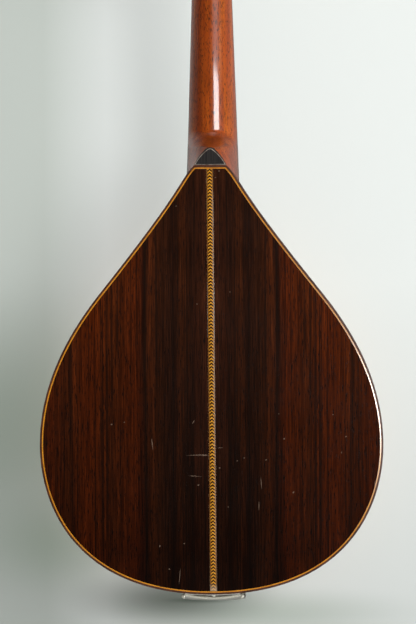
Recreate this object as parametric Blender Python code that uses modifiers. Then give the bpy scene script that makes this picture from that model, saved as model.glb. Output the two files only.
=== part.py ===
"""A flat back mandolin with a pear-shaped body, a bent top, eight strings and worm-gear tuners.

Lengths are in metres. The instrument stands upright on its tail: heights run along +Z from the tail to the
head, depths run along +Y from the flat back to the soundboard, and +X is the bass side. The origin of the
whole part is where a wall hanger carries it, under the shoulders of the head.
"""

import math

import bmesh
import bpy
from mathutils import Matrix, Vector
from mathutils.geometry import interpolate_bezier

GAP = 0.0003  # glue line or running gap between two pieces that touch

# Body outline, drawn as three Bezier stretches from the middle of the tail to the flat at the neck
BODY_LENGTH = 0.312
BODY_WIDTH = 0.250
WIDEST_HEIGHT = 0.109
SHOULDER_HALF_WIDTH = 0.0805
SHOULDER_HEIGHT = 0.2196
NECK_FLAT_WIDTH = 0.024
TAIL_PULL = 0.0963
LOWER_PULL = 0.0476
UPPER_PULL = 0.0345
SHOULDER_PULL = 0.0509
NECK_PULL = 0.1022
CORNER_PULL = 0.0165
SHOULDER_SLOPE = 0.80  # sideways travel per unit of height
CORNER_SLOPE = 0.94
STRETCH_SPANS = (14, 7, 4)  # straight pieces that stand for each curved stretch

# Body depths from the flat back, and the line where the soundboard bends
NECK_DEPTH = 0.052
BEND_DEPTH = 0.064
TAIL_DEPTH = 0.055
BEND_HEIGHT = 0.112

# Plates, sides and their edging
BACK_THICKNESS = 0.0025
TOP_THICKNESS = 0.0026
SIDE_THICKNESS = 0.0020
BINDING_WIDTH = 0.0011
PURFLING_WIDTH = 0.0009
TOP_BINDING_WIDTH = 0.0018
STRIP_WIDTH = 0.0049

# Inside the body
LINING_WIDTH = 0.0050
LINING_DEPTH = 0.0060
NECK_BLOCK_LENGTH = 0.045
TAIL_BLOCK_HEIGHT = 0.024
BRACE_WIDTH = 0.0070
TOP_BRACE_DEPTH = 0.0120
BACK_BRACE_DEPTH = 0.0100
UPPER_TOP_BRACE = 0.068  # braces are placed by their distance from the body joint
LOWER_TOP_BRACE = 0.149
UPPER_BACK_BRACE = 0.080
LOWER_BACK_BRACE = 0.160
BRACE_END_CLEARANCE = 0.0012
TENON_WIDTH = 0.014
TENON_LENGTH = 0.016
TENON_TOP = 0.008
TENON_DEPTH = 0.026
TENON_ROOT = 0.004  # how far the tenon reaches into the heel

# Soundhole, bridge and scale, measured along the neck from the body joint
SCALE_LENGTH = 0.330
JOINT_FRET = 10
LAST_FRET = 17
SOUNDHOLE_WIDTH = 0.062
SOUNDHOLE_HEIGHT = 0.042
SOUNDHOLE_DISTANCE = 0.105
PICKGUARD_THICKNESS = 0.0008
PICKGUARD_MARGIN = 0.010
PICKGUARD_EDGE = 0.020
PICKGUARD_WING = 0.030
PICKGUARD_TIP = 0.006
PICKGUARD_THROAT = 0.034
PICKGUARD_FOOT = 0.040
PICKGUARD_CURL = 0.004

# Neck, heel and fretboard
NECK_WIDTH = 0.0380
NUT_WIDTH = 0.0285
NECK_THICKNESS = 0.0195
NUT_END_THICKNESS = 0.0150
HEEL_LENGTH = 0.0285
HEEL_POINT = 0.0160  # where the heel's spine meets the point of its cap
HEEL_DROP = 0.0316
HEEL_CURVE = 2.0
HEEL_SPREAD = 0.0272  # how much deeper it would be at the joint, if the back's plane did not cut it
HEEL_SPREAD_CURVE = 1.35
HEEL_SHARPNESS = 1.30
NECK_SHARPNESS = 1.10
HEEL_CAP_THICKNESS = 0.0015
HEEL_RUN_IN = 0.014  # how far the heel reaches down beside the narrow end of the body
HEEL_RINGS = (4, 6)  # rings below and above the heel's point
NECK_RING_STEPS = 12
FRETBOARD_THICKNESS = 0.0045
FRETBOARD_OVERHANG = 0.066
FRET_HEIGHT = 0.0010
FRET_WIDTH = 0.0022
NUT_THICKNESS = 0.0040
ACTION = 0.0022  # string height over the twelfth fret

# Head and its tuners
HEAD_ANGLE = math.radians(13)
HEAD_LENGTH = 0.148
HEAD_WIDTH = 0.056
HEAD_THICKNESS = 0.014
FLARE_HEIGHT = 0.010
HEAD_OVERLAP = 0.008
HEAD_BLANK_INSET = 0.0004  # keeps the head's blank inside the neck where the two run together
HEAD_FACE_TRIM = 0.0002
HEAD_SHOULDER_HEIGHT = 0.015
HEAD_SHOULDER_INSET = 0.0030
HEAD_WAIST_HEIGHT = 0.055
HEAD_WAIST_INSET = 0.0022
HEAD_WIDEST_DROP = 0.034
HEAD_CORNER_DROP = 0.015
HEAD_CREST_DROP = 0.008
HEAD_CREST_SHARE = 0.45  # how far out of the half width the crest's curve turns down
NECK_RUN_OUT = ((0.005, 0.98), (0.011, 0.90), (0.018, 0.80))  # into the head, share of the nut's width
NECK_RUN_DROP = 0.0005
POST_SIDE = 0.0170
FIRST_POST = 0.030
POST_SPACING = 0.023
POST_RADIUS = 0.0030
POST_RISE = 0.0130
POST_FOOT = 0.0008
STRING_HOLE_RISE = 0.0080
PLATE_THICKNESS = 0.0015
PLATE_WIDTH = 0.0160
PLATE_MARGIN = 0.0140
GEAR_TEETH = 14
GEAR_RADIUS = 0.00425
GEAR_THICKNESS = 0.0022
WORM_RADIUS = 0.00195
WORM_CORE_RADIUS = 0.0012
TOOTH_RISE = 0.0005
TOOTH_ROOT = 0.00075
THREAD_THICKNESS = 0.0007
TOOTH_THICKNESS = 0.00055
FLANK_ANGLE = math.radians(20)
THREAD_STEPS = 9
THREAD_SINK = 0.0003
WORM_LENGTH = 0.0068
TAB_THICKNESS = 0.0012
TAB_WIDTH = 0.0062
TAB_BELOW_SHAFT = 0.0022
SHAFT_OVERHANG = 0.0006
BUTTON_RADIUS = 0.0070
BUTTON_HALF_LENGTH = 0.0085
BUTTON_THICKNESS = 0.0055
BUTTON_CLEARANCE = 0.0015
BUTTON_BORE_DEPTH = 0.0080

# Strings, from treble to bass
STRING_RADII = (0.00014, 0.00019, 0.00030, 0.00045)
COURSE_NAMES = ("e", "a", "d", "g")
THICKEST_PLAIN = 0.00025  # a string with a larger radius is wound
STRING_ON_HOOK = 0.6  # share of the hook's height
COURSE_AT_NUT = 0.0066
COURSE_AT_BRIDGE = 0.0120
COURSE_AT_HOOKS = 0.0075
PAIR_AT_NUT = 0.0018
PAIR_AT_BRIDGE = 0.0025
PAIR_AT_HOOKS = 0.0022

# Bridge and tailpiece
BRIDGE_LENGTH = 0.104
BRIDGE_TOP_LENGTH = 0.050
BRIDGE_WIDTH = 0.0080
BRIDGE_END_HEIGHT = 0.0030
BRIDGE_TAPER = 0.5
BRIDGE_FOOT_LENGTH = 0.012
BRIDGE_FOOT_RISE = 0.0004
BRIDGE_RAMP = 0.004
BRIDGE_RAMP_DROP = 0.0012
TAILPIECE_WIDTH = 0.0400
TAILPIECE_THICKNESS = 0.0012
TAILPIECE_REACH = 0.027
TAILPIECE_FOOT_DEPTH = 0.0120
HOOK_HEIGHT = 0.0040
HOOK_WIDTH = 0.0055
HOOK_THICKNESS = 0.0020
HOOK_DISTANCE = 0.0160
COVER_WIDTH = 0.0460
COVER_LENGTH = 0.056
COVER_HEIGHT = 0.0090
COVER_THICKNESS = 0.0009
COVER_LIP_DEPTH = 0.0160
COVER_LIP_DROP = 0.0046
COVER_BACK_DROP = 0.0078
COVER_SKIRT_BOW = 0.0018
COVER_SHOULDER_HEIGHT = 0.0030
COVER_SHOULDER_DROP = 0.0008
COVER_SHOULDER_CURVE = 0.0076
COVER_TURN_RISE = 0.0012
COVER_TURN_DEPTH = 0.0036
COVER_SKIRT_DEPTH = 0.0060
COVER_LIP_CURL = 0.002
COVER_COLUMNS = 10
TAIL_BENDS = 6
SCREW_DEPTH = 0.0210
SCREW_RADIUS = 0.0013
SCREW_LENGTH = 0.014
SCREW_HEAD_RADIUS = 0.0024
SCREW_HEAD_HEIGHT = 0.0013

# Places that follow from the sizes above
TOP_LEAN = math.atan2(BEND_DEPTH - NECK_DEPTH, BODY_LENGTH - BEND_HEIGHT)
TAIL_LEAN = math.atan2(BEND_DEPTH - TAIL_DEPTH, BEND_HEIGHT)
BACK_EDGE = BINDING_WIDTH + GAP + PURFLING_WIDTH + GAP
SIDE_BACK = BACK_THICKNESS + GAP
TOP_UNDERSIDE = TOP_THICKNESS + GAP
INSIDE = SIDE_THICKNESS + GAP
NECK_BLOCK_LOW = BODY_LENGTH - NECK_BLOCK_LENGTH
NUT_DISTANCE = SCALE_LENGTH * (1 - 2 ** (-JOINT_FRET / 12))
BRIDGE_DISTANCE = SCALE_LENGTH - NUT_DISTANCE
NECK_END = NUT_DISTANCE + GAP + NUT_THICKNESS + GAP
FRET_TOP = GAP + FRETBOARD_THICKNESS + FRET_HEIGHT
STRING_AT_NUT = FRET_TOP + GAP
STRING_AT_BRIDGE = STRING_AT_NUT + 2 * ACTION
GEAR_PITCH = 2 * math.pi * GEAR_RADIUS / GEAR_TEETH
WORM_DROP = GEAR_RADIUS + WORM_RADIUS
PLATE_BACK = -HEAD_THICKNESS - GAP - PLATE_THICKNESS
GEAR_MIDDLE = PLATE_BACK - GAP - WORM_RADIUS - TOOTH_RISE
TAB_DROP = WORM_CORE_RADIUS + TAB_BELOW_SHAFT
BUTTON_MIDDLE = HEAD_WIDTH / 2 + BUTTON_CLEARANCE + BUTTON_HALF_LENGTH
SCREW_BORE_RADIUS = SCREW_RADIUS + GAP

# Planes that an outline is drawn in, as a turn of the drawing's own X and Y
FACING_BACK = Matrix.Rotation(math.radians(90), 4, "X")
SIDE_ON = Matrix.Rotation(math.radians(-90), 4, "Y")
FROM_TAIL = Matrix.Identity(4)


def clear_scene():
    for thing in list(bpy.data.objects):
        bpy.data.objects.remove(thing, do_unlink=True)


def make_collection(name, hidden):
    collection = bpy.data.collections.new(name)
    bpy.context.scene.collection.children.link(collection)
    collection.hide_render = hidden
    return collection


def make_finish(name, colour, roughness, metallic=0.0):
    """A plain material in the colour of the real piece."""
    finish = bpy.data.materials.new(name)
    finish.use_nodes = True
    shader = finish.node_tree.nodes["Principled BSDF"]
    shader.inputs["Base Color"].default_value = (*colour, 1.0)
    shader.inputs["Roughness"].default_value = roughness
    shader.inputs["Metallic"].default_value = metallic
    finish.diffuse_color = (*colour, 1.0)
    return finish


clear_scene()
PARTS = make_collection("flat_back_mandolin", hidden=False)
CUTTERS = make_collection("cutters", hidden=True)

ROSEWOOD = make_finish("dark_rosewood", (0.035, 0.012, 0.006), 0.25)
ROSEWOOD_EDGE = make_finish("rosewood_edging", (0.020, 0.008, 0.005), 0.30)
YELLOW_WOOD = make_finish("yellow_dyed_wood", (0.60, 0.23, 0.04), 0.35)
SPRUCE = make_finish("spruce", (0.62, 0.36, 0.15), 0.40)
RAW_SPRUCE = make_finish("raw_spruce", (0.60, 0.42, 0.24), 0.80)
CEDAR = make_finish("red_cedar", (0.36, 0.075, 0.015), 0.22)
EBONY = make_finish("ebony", (0.012, 0.011, 0.011), 0.35)
BONE = make_finish("bone", (0.75, 0.68, 0.52), 0.40)
SHELL = make_finish("tortoiseshell", (0.10, 0.025, 0.008), 0.18)
NICKEL = make_finish("nickel", (0.62, 0.60, 0.55), 0.25, 1.0)
BRASS = make_finish("brass", (0.65, 0.45, 0.18), 0.30, 1.0)
IVOROID = make_finish("ivoroid", (0.74, 0.66, 0.46), 0.35)
STEEL = make_finish("string_steel", (0.60, 0.60, 0.60), 0.25, 1.0)
BRONZE = make_finish("wound_bronze", (0.55, 0.33, 0.16), 0.35, 1.0)


def make_object(name, mesh, finish, parent, collection=PARTS):
    thing = bpy.data.objects.new(name, mesh)
    collection.objects.link(thing)
    thing.parent = parent
    if finish and not mesh.materials:
        mesh.materials.append(finish)
    if collection is CUTTERS:
        thing.hide_render = True
        thing.display_type = "WIRE"
    return thing


def finish_mesh(form, name, smooth=False):
    bmesh.ops.recalc_face_normals(form, faces=form.faces)
    mesh = bpy.data.meshes.new(name)
    form.to_mesh(mesh)
    form.free()
    if smooth:
        mesh.shade_smooth()
        mesh.set_sharp_from_angle(angle=math.radians(35))
    return mesh


def settled(thing):
    """A plain mesh of an object as its modifiers leave it."""
    graph = bpy.context.evaluated_depsgraph_get()
    return bpy.data.meshes.new_from_object(thing.evaluated_get(graph))


def drawn(outlines, half_thickness, plane):
    """A bmesh of one or two closed outlines, filled and thickened to both sides of their plane."""
    curve = bpy.data.curves.new("drawing", "CURVE")
    curve.dimensions = "2D"
    curve.fill_mode = "BOTH"
    curve.extrude = half_thickness
    for outline in outlines:
        spline = curve.splines.new("POLY")
        spline.points.add(len(outline) - 1)
        for point, place in zip(spline.points, outline):
            point.co = (place[0], place[1], 0, 1)
        spline.use_cyclic_u = True
    drawing = bpy.data.objects.new("drawing", curve)
    CUTTERS.objects.link(drawing)
    mesh = settled(drawing)
    form = bmesh.new()
    form.from_mesh(mesh)
    bmesh.ops.remove_doubles(form, verts=form.verts, dist=0.00001)
    bmesh.ops.transform(form, matrix=plane, verts=form.verts)
    bpy.data.meshes.remove(mesh)
    bpy.data.objects.remove(drawing)
    bpy.data.curves.remove(curve)
    return form


def flat_form(outlines, back, front):
    """Outlines in X and height, thickened from one depth to another."""
    form = drawn(outlines, (front - back) / 2, FACING_BACK)
    bmesh.ops.translate(form, vec=(0, (front + back) / 2, 0), verts=form.verts)
    return form


def box_form(low, high):
    form = bmesh.new()
    bmesh.ops.create_cube(form, size=1.0)
    size = [b - a for a, b in zip(low, high)]
    bmesh.ops.scale(form, vec=size, verts=form.verts)
    bmesh.ops.translate(form, vec=[(a + b) / 2 for a, b in zip(low, high)], verts=form.verts)
    return form


def add_box(form, low, high):
    """Adds one more block to a form that a Boolean takes as a whole."""
    size = [b - a for a, b in zip(low, high)]
    middle = [(a + b) / 2 for a, b in zip(low, high)]
    place = Matrix.Translation(middle) @ Matrix.Diagonal((*size, 1))
    bmesh.ops.create_cube(form, size=1.0, matrix=place)


def add_rod(form, radius, start, end, sides=12):
    """Adds a round rod between two points."""
    start = Vector(start)
    end = Vector(end)
    way = end - start
    turn = way.to_track_quat("Z", "Y").to_matrix().to_4x4()
    place = Matrix.Translation((start + end) / 2) @ turn
    bmesh.ops.create_cone(
        form, cap_ends=True, segments=sides, radius1=radius, radius2=radius, depth=way.length, matrix=place
    )


def loft(form, rings):
    """Joins rings of equally many points into one skin with closed ends."""
    rows = [[form.verts.new(point) for point in ring] for ring in rings]
    count = len(rows[0])
    for below, above in zip(rows, rows[1:]):
        for i in range(count):
            j = (i + 1) % count
            form.faces.new((below[i], below[j], above[j], above[i]))
    form.faces.new(rows[0])
    form.faces.new(reversed(rows[-1]))


def smooth_run(knots, steps):
    """Points along a smooth line through all knots but the first and last, which only guide its ends."""
    knots = [Vector((*knot, 0)[:3]) for knot in knots]
    points = [knots[1]]
    for before, start, end, after in zip(knots, knots[1:], knots[2:], knots[3:]):
        leave = start + (end - before) / 6
        arrive = end - (after - start) / 6
        points += interpolate_bezier(start, leave, arrive, end, steps + 1)[1:]
    return points


def rounded(knots, steps=3):
    """A closed outline that runs smoothly through its knots."""
    return smooth_run([knots[-1], *knots, *knots[:2]], steps)[:-1]


def combine(thing, other, operation):
    modifier = thing.modifiers.new(operation.lower(), "BOOLEAN")
    modifier.operation = operation
    modifier.object = other


def cutter(name, form, parent):
    return make_object(name, finish_mesh(form, name), None, parent, CUTTERS)


def keep_beyond(form, point, way):
    """Cuts a closed form at a plane, keeps the side that way points to and closes the cut."""
    everything = list(form.verts) + list(form.edges) + list(form.faces)
    cut = bmesh.ops.bisect_plane(
        form, geom=everything, plane_co=point, plane_no=way, dist=1e-7, clear_inner=True
    )
    rim = [item for item in cut["geom_cut"] if isinstance(item, bmesh.types.BMEdge)]
    bmesh.ops.contextual_create(form, geom=rim)


def split_at(form, point, way):
    everything = list(form.verts) + list(form.edges) + list(form.faces)
    bmesh.ops.bisect_plane(form, geom=everything, plane_co=point, plane_no=way, dist=1e-7)


def bass_edge(inset):
    """The bass edge of the body from the tail to past the neck flat, moved inwards by inset."""
    tail = Vector((0, 0))
    widest = Vector((BODY_WIDTH / 2, WIDEST_HEIGHT))
    shoulder = Vector((SHOULDER_HALF_WIDTH, SHOULDER_HEIGHT))
    corner = Vector((NECK_FLAT_WIDTH / 2, BODY_LENGTH))
    shoulder_way = Vector((-SHOULDER_SLOPE, 1)).normalized()
    corner_way = Vector((-CORNER_SLOPE, 1)).normalized()
    stretches = (
        (tail, Vector((TAIL_PULL, 0)), widest - Vector((0, LOWER_PULL)), widest),
        (widest, widest + Vector((0, UPPER_PULL)), shoulder - SHOULDER_PULL * shoulder_way, shoulder),
        (shoulder, shoulder + NECK_PULL * shoulder_way, corner - CORNER_PULL * corner_way, corner),
    )
    edge = [tail]
    for stretch, spans in zip(stretches, STRETCH_SPANS):
        edge += [point.to_2d() for point in interpolate_bezier(*stretch, spans + 1)[1:]]
    edge.append(corner + corner_way * corner.x)
    moved = []
    for i, point in enumerate(edge):
        before = edge[i - 1] if i else Vector((-edge[1].x, edge[1].y))
        after = edge[min(i + 1, len(edge) - 1)]
        way = (after - before).normalized()
        moved.append(point + inset * Vector((-way.y, way.x)))
    return moved


def crossing(points, height):
    """The index of the last point below a height, and the point where the edge crosses it."""
    index = max(i for i, point in enumerate(points[:-1]) if point.y <= height)
    low = points[index]
    high = points[index + 1]
    return index, low.lerp(high, (height - low.y) / (high.y - low.y))


def edge_below(inset, height):
    edge = bass_edge(inset)
    index, end = crossing(edge, height)
    return edge[: index + 1] + [end]


def edge_above(inset, height, top):
    edge = edge_below(inset, top)
    index, start = crossing(edge, height)
    return [start] + edge[index + 1 :]


def half_width(height, inset):
    return crossing(bass_edge(inset), height)[1].x


def tail_rise(x):
    """How far the tail has curved up at a distance from the centre line."""
    edge = bass_edge(0)
    index = max(i for i, point in enumerate(edge[: STRETCH_SPANS[0]]) if point.x <= abs(x))
    low = edge[index]
    high = edge[index + 1]
    return low.lerp(high, (abs(x) - low.x) / (high.x - low.x)).y


def both_sides(points):
    """Closes a bass edge that starts on the centre line with its mirror image."""
    mirrored = [Vector((-point.x, point.y)) for point in reversed(points) if point.x > 1e-6]
    return points + mirrored


def closed_outline(inset):
    return both_sides(edge_below(inset, BODY_LENGTH - inset))


def top_depth(height):
    """Depth of the soundboard's face at a height, below or above its bend."""
    if height < BEND_HEIGHT:
        return BEND_DEPTH - (BEND_HEIGHT - height) * math.tan(TAIL_LEAN)
    return BEND_DEPTH - (height - BEND_HEIGHT) * math.tan(TOP_LEAN)


def lean_front(form, middle, setback):
    """Moves all in front of middle to lie setback under the soundboard's face, with the bend in it."""
    split_at(form, (0, 0, BEND_HEIGHT), (0, 0, 1))
    for vert in form.verts:
        if vert.co.y > middle:
            vert.co.y = top_depth(vert.co.z) - setback


def follow_top(form):
    """Moves a form that was drawn at depth zero to the soundboard's face, with the bend in it."""
    split_at(form, (0, 0, BEND_HEIGHT), (0, 0, 1))
    for vert in form.verts:
        vert.co.y += top_depth(vert.co.z)


def make_frames():
    """Empties that carry the pieces: the body, the neck along the leaning top, and the tilted head."""
    body = bpy.data.objects.new("body_frame", None)
    neck = bpy.data.objects.new("neck_frame", None)
    head = bpy.data.objects.new("head_frame", None)
    for frame in (body, neck, head):
        PARTS.objects.link(frame)
        frame.empty_display_size = 0.02
    neck.parent = body
    neck.location = (0, NECK_DEPTH, BODY_LENGTH)
    neck.rotation_euler.x = TOP_LEAN
    head.parent = neck
    head.location = (0, 0, NECK_END)
    head.rotation_euler.x = HEAD_ANGLE
    hanger = head_matrix() @ Vector((0, -HEAD_THICKNESS / 2, FLARE_HEIGHT))
    body.location = -hanger
    return body, neck, head


def neck_matrix():
    return Matrix.Translation((0, NECK_DEPTH, BODY_LENGTH)) @ Matrix.Rotation(TOP_LEAN, 4, "X")


def head_matrix():
    return neck_matrix() @ Matrix.Translation((0, 0, NECK_END)) @ Matrix.Rotation(HEAD_ANGLE, 4, "X")


BODY, NECK, HEAD = make_frames()


def make_back():
    """Two bookmatched rosewood plates with an inlaid strip between them, purfling and binding round them."""
    margin = STRIP_WIDTH / 2 + GAP
    for name, side in (("back_bass", 1), ("back_treble", -1)):
        edge = edge_below(BACK_EDGE, BODY_LENGTH - BACK_EDGE)
        start = next(i for i, point in enumerate(edge) if point.x > margin)
        share = (margin - edge[start - 1].x) / (edge[start].x - edge[start - 1].x)
        foot = edge[start - 1].lerp(edge[start], share)
        outline = [foot] + edge[start:] + [Vector((margin, BODY_LENGTH - BACK_EDGE))]
        outline = [(side * point.x, point.y) for point in outline]
        form = flat_form([outline], 0, BACK_THICKNESS)
        make_object(name, finish_mesh(form, name), ROSEWOOD, BODY)
    low = (-STRIP_WIDTH / 2, 0, BACK_EDGE + tail_rise(STRIP_WIDTH / 2))
    high = (STRIP_WIDTH / 2, BACK_THICKNESS, BODY_LENGTH - BACK_EDGE)
    make_object("back_strip", finish_mesh(box_form(low, high), "back_strip"), YELLOW_WOOD, BODY)
    purfling = [closed_outline(BINDING_WIDTH + GAP), closed_outline(BACK_EDGE - GAP)]
    form = flat_form(purfling, 0, BACK_THICKNESS)
    make_object("back_purfling", finish_mesh(form, "back_purfling"), YELLOW_WOOD, BODY)
    form = flat_form([closed_outline(0), closed_outline(BINDING_WIDTH)], 0, BACK_THICKNESS)
    make_object("back_binding", finish_mesh(form, "back_binding"), ROSEWOOD_EDGE, BODY)


def make_sides():
    """Two bent rosewood sides that meet at the tail and end at the neck."""
    sides = []
    for name, side in (("side_bass", 1), ("side_treble", -1)):
        outer = edge_below(0, BODY_LENGTH)
        inner = edge_below(SIDE_THICKNESS, BODY_LENGTH)
        outer[0] = Vector((GAP / 2, outer[0].y))
        inner[0] = Vector((GAP / 2, inner[0].y))
        outline = [(side * point.x, point.y) for point in outer + inner[::-1]]
        form = flat_form([outline], SIDE_BACK, TAIL_DEPTH / 2)
        lean_front(form, TAIL_DEPTH / 4, TOP_UNDERSIDE)
        sides.append(make_object(name, finish_mesh(form, name), ROSEWOOD, BODY))
    return sides


def make_soundboard():
    """A bent spruce top with an oval soundhole, its binding and an inlaid pickguard."""
    form = flat_form([closed_outline(TOP_BINDING_WIDTH + GAP)], -TOP_THICKNESS, 0)
    follow_top(form)
    board = make_object("soundboard", finish_mesh(form, "soundboard"), SPRUCE, BODY)
    hole = bmesh.new()
    add_rod(hole, 1.0, (0, -TOP_THICKNESS * 3, 0), (0, TOP_THICKNESS * 3, 0), sides=28)
    bmesh.ops.scale(hole, vec=(SOUNDHOLE_WIDTH / 2, 1, SOUNDHOLE_HEIGHT / 2), verts=hole.verts)
    bmesh.ops.translate(hole, vec=(0, 0, -SOUNDHOLE_DISTANCE), verts=hole.verts)
    combine(board, cutter("soundhole_cutter", hole, NECK), "DIFFERENCE")
    form = flat_form([closed_outline(0), closed_outline(TOP_BINDING_WIDTH)], -TOP_THICKNESS, 0)
    follow_top(form)
    make_object("top_binding", finish_mesh(form, "top_binding"), ROSEWOOD_EDGE, BODY)


def make_pickguard():
    """A thin shell plate on the treble side, between the soundhole and the bridge."""
    low = -BRIDGE_DISTANCE + BRIDGE_WIDTH
    high = -SOUNDHOLE_DISTANCE - SOUNDHOLE_HEIGHT / 2 - PICKGUARD_MARGIN
    reach = half_width(BODY_LENGTH - SOUNDHOLE_DISTANCE, 0) - PICKGUARD_EDGE
    middle = (low + high) / 2
    knots = (
        (-PICKGUARD_TIP, high - PICKGUARD_CURL),
        (-PICKGUARD_THROAT, high),
        (-reach * 0.8, high + PICKGUARD_WING),
        (-reach, high + PICKGUARD_WING * 0.3),
        (-reach * 0.86, middle),
        (-PICKGUARD_FOOT, low + PICKGUARD_CURL),
        (-PICKGUARD_TIP * 2, low + 2 * PICKGUARD_CURL),
        (-PICKGUARD_TIP / 3, middle),
    )
    form = flat_form([rounded(knots)], GAP, GAP + PICKGUARD_THICKNESS)
    make_object("pickguard", finish_mesh(form, "pickguard"), SHELL, NECK)


def make_linings():
    """Spruce strips glued into the corners between the sides and both plates."""
    outer = edge_below(INSIDE, NECK_BLOCK_LOW - GAP)
    inner = edge_below(INSIDE + LINING_WIDTH, NECK_BLOCK_LOW - GAP)
    treble_inner = [Vector((-point.x, point.y)) for point in inner[1:]]
    treble_outer = [Vector((-point.x, point.y)) for point in reversed(outer[1:])]
    horseshoe = outer + inner[::-1] + treble_inner + treble_outer
    form = flat_form([horseshoe], SIDE_BACK, SIDE_BACK + LINING_DEPTH)
    make_object("lining_back", finish_mesh(form, "lining_back"), RAW_SPRUCE, BODY)
    form = flat_form([horseshoe], -TOP_UNDERSIDE - LINING_DEPTH, -TOP_UNDERSIDE)
    follow_top(form)
    make_object("lining_top", finish_mesh(form, "lining_top"), RAW_SPRUCE, BODY)


def make_blocks():
    """The neck block with its mortise, and the tail block between the linings."""
    edge = edge_above(INSIDE, NECK_BLOCK_LOW, BODY_LENGTH)
    outline = edge + [Vector((-point.x, point.y)) for point in reversed(edge)]
    form = flat_form([outline], SIDE_BACK, TAIL_DEPTH / 2)
    lean_front(form, TAIL_DEPTH / 4, TOP_UNDERSIDE)
    neck_block = make_object("neck_block", finish_mesh(form, "neck_block"), RAW_SPRUCE, BODY)
    reach = TENON_WIDTH / 2 + GAP
    low = (-reach, -TENON_TOP - TENON_DEPTH - GAP, -TENON_LENGTH - GAP)
    mortise = box_form(low, (reach, -TENON_TOP + GAP, TENON_LENGTH))
    combine(neck_block, cutter("mortise_cutter", mortise, NECK), "DIFFERENCE")
    outline = both_sides(edge_below(INSIDE, TAIL_BLOCK_HEIGHT))
    form = flat_form([outline], SIDE_BACK + LINING_DEPTH + GAP, TAIL_DEPTH / 2)
    lean_front(form, TAIL_DEPTH / 3, TOP_UNDERSIDE + LINING_DEPTH + GAP)
    return make_object("tail_block", finish_mesh(form, "tail_block"), RAW_SPRUCE, BODY)


def make_braces():
    """Spruce bars glued across the inside of both plates."""
    for name, distance in (("top_brace_upper", UPPER_TOP_BRACE), ("top_brace_lower", LOWER_TOP_BRACE)):
        reach = brace_reach(BODY_LENGTH - distance)
        low = (-reach, -TOP_UNDERSIDE - TOP_BRACE_DEPTH, -distance - BRACE_WIDTH / 2)
        high = (reach, -TOP_UNDERSIDE, -distance + BRACE_WIDTH / 2)
        make_object(name, finish_mesh(box_form(low, high), name), RAW_SPRUCE, NECK)
    for name, distance in (("back_brace_upper", UPPER_BACK_BRACE), ("back_brace_lower", LOWER_BACK_BRACE)):
        height = BODY_LENGTH - distance
        reach = brace_reach(height)
        low = (-reach, SIDE_BACK, height - BRACE_WIDTH / 2)
        high = (reach, SIDE_BACK + BACK_BRACE_DEPTH, height + BRACE_WIDTH / 2)
        make_object(name, finish_mesh(box_form(low, high), name), RAW_SPRUCE, BODY)


def brace_reach(height):
    """Half the length of a brace that stops just short of the linings at its wider and narrower edge."""
    inset = INSIDE + LINING_WIDTH + BRACE_END_CLEARANCE
    return min(half_width(height - BRACE_WIDTH / 2, inset), half_width(height + BRACE_WIDTH / 2, inset))


def neck_half_width(distance):
    """Half the neck's width at a distance from the body joint, on the line from the joint to the nut."""
    return NECK_WIDTH / 2 - (NECK_WIDTH - NUT_WIDTH) / 2 * distance / NUT_DISTANCE


def underside(half_width_there, depth, sharpness, place, drop=0.0):
    """A ring across the neck: a rounded V below and a flat fretboard face on top."""
    ring = []
    for i in range(NECK_RING_STEPS + 1):
        turn = math.pi * i / NECK_RING_STEPS
        across = math.copysign(abs(math.cos(turn)) ** sharpness, math.cos(turn))
        ring.append(place @ Vector((half_width_there * across, -drop - (depth - drop) * math.sin(turn), 0)))
    return ring


def heel_depth(distance):
    """How much deeper than the neck the heel is, at a distance from the body joint."""
    if distance > HEEL_POINT:
        share = max(HEEL_LENGTH - distance, 0) / (HEEL_LENGTH - HEEL_POINT)
        return HEEL_DROP * share**HEEL_CURVE
    share = min((HEEL_POINT - distance) / HEEL_POINT, 1)
    return HEEL_DROP + HEEL_SPREAD * share**HEEL_SPREAD_CURVE


def neck_form():
    """The carved neck from inside the body to inside the head, as one skin in the neck's frame."""
    rings = []
    below, above = HEEL_RINGS
    places = [HEEL_POINT * i / below for i in range(below)]
    places += [HEEL_POINT + (HEEL_LENGTH - HEEL_POINT) * i / above for i in range(above + 1)]
    for distance in [-HEEL_RUN_IN, *places, NECK_END]:
        slope = (distance - HEEL_LENGTH) / (NECK_END - HEEL_LENGTH)
        depth = NECK_THICKNESS - (NECK_THICKNESS - NUT_END_THICKNESS) * max(slope, 0)
        depth += heel_depth(distance)
        share = min(heel_depth(distance) / HEEL_DROP, 1)
        sharpness = NECK_SHARPNESS + (HEEL_SHARPNESS - NECK_SHARPNESS) * share
        place = Matrix.Translation((0, 0, distance))
        rings.append(underside(neck_half_width(distance), depth, sharpness, place))
    bend = Matrix.Translation((0, 0, NECK_END)) @ Matrix.Rotation(HEAD_ANGLE, 4, "X")
    last_depth = HEAD_THICKNESS - 2 * NECK_RUN_DROP
    for distance, share in NECK_RUN_OUT:
        place = bend @ Matrix.Translation((0, 0, distance))
        depth = NUT_END_THICKNESS + (last_depth - NUT_END_THICKNESS) * distance / NECK_RUN_OUT[-1][0]
        rings.append(underside(NUT_WIDTH / 2 * share, depth, NECK_SHARPNESS, place, NECK_RUN_DROP))
    form = bmesh.new()
    loft(form, rings)
    return form


def cut_square(form, point, way):
    """Trims a form in the neck's frame at a plane that is given in the body's frame."""
    to_neck = neck_matrix().inverted()
    keep_beyond(form, to_neck @ Vector(point), to_neck.to_3x3() @ Vector(way))


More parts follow.
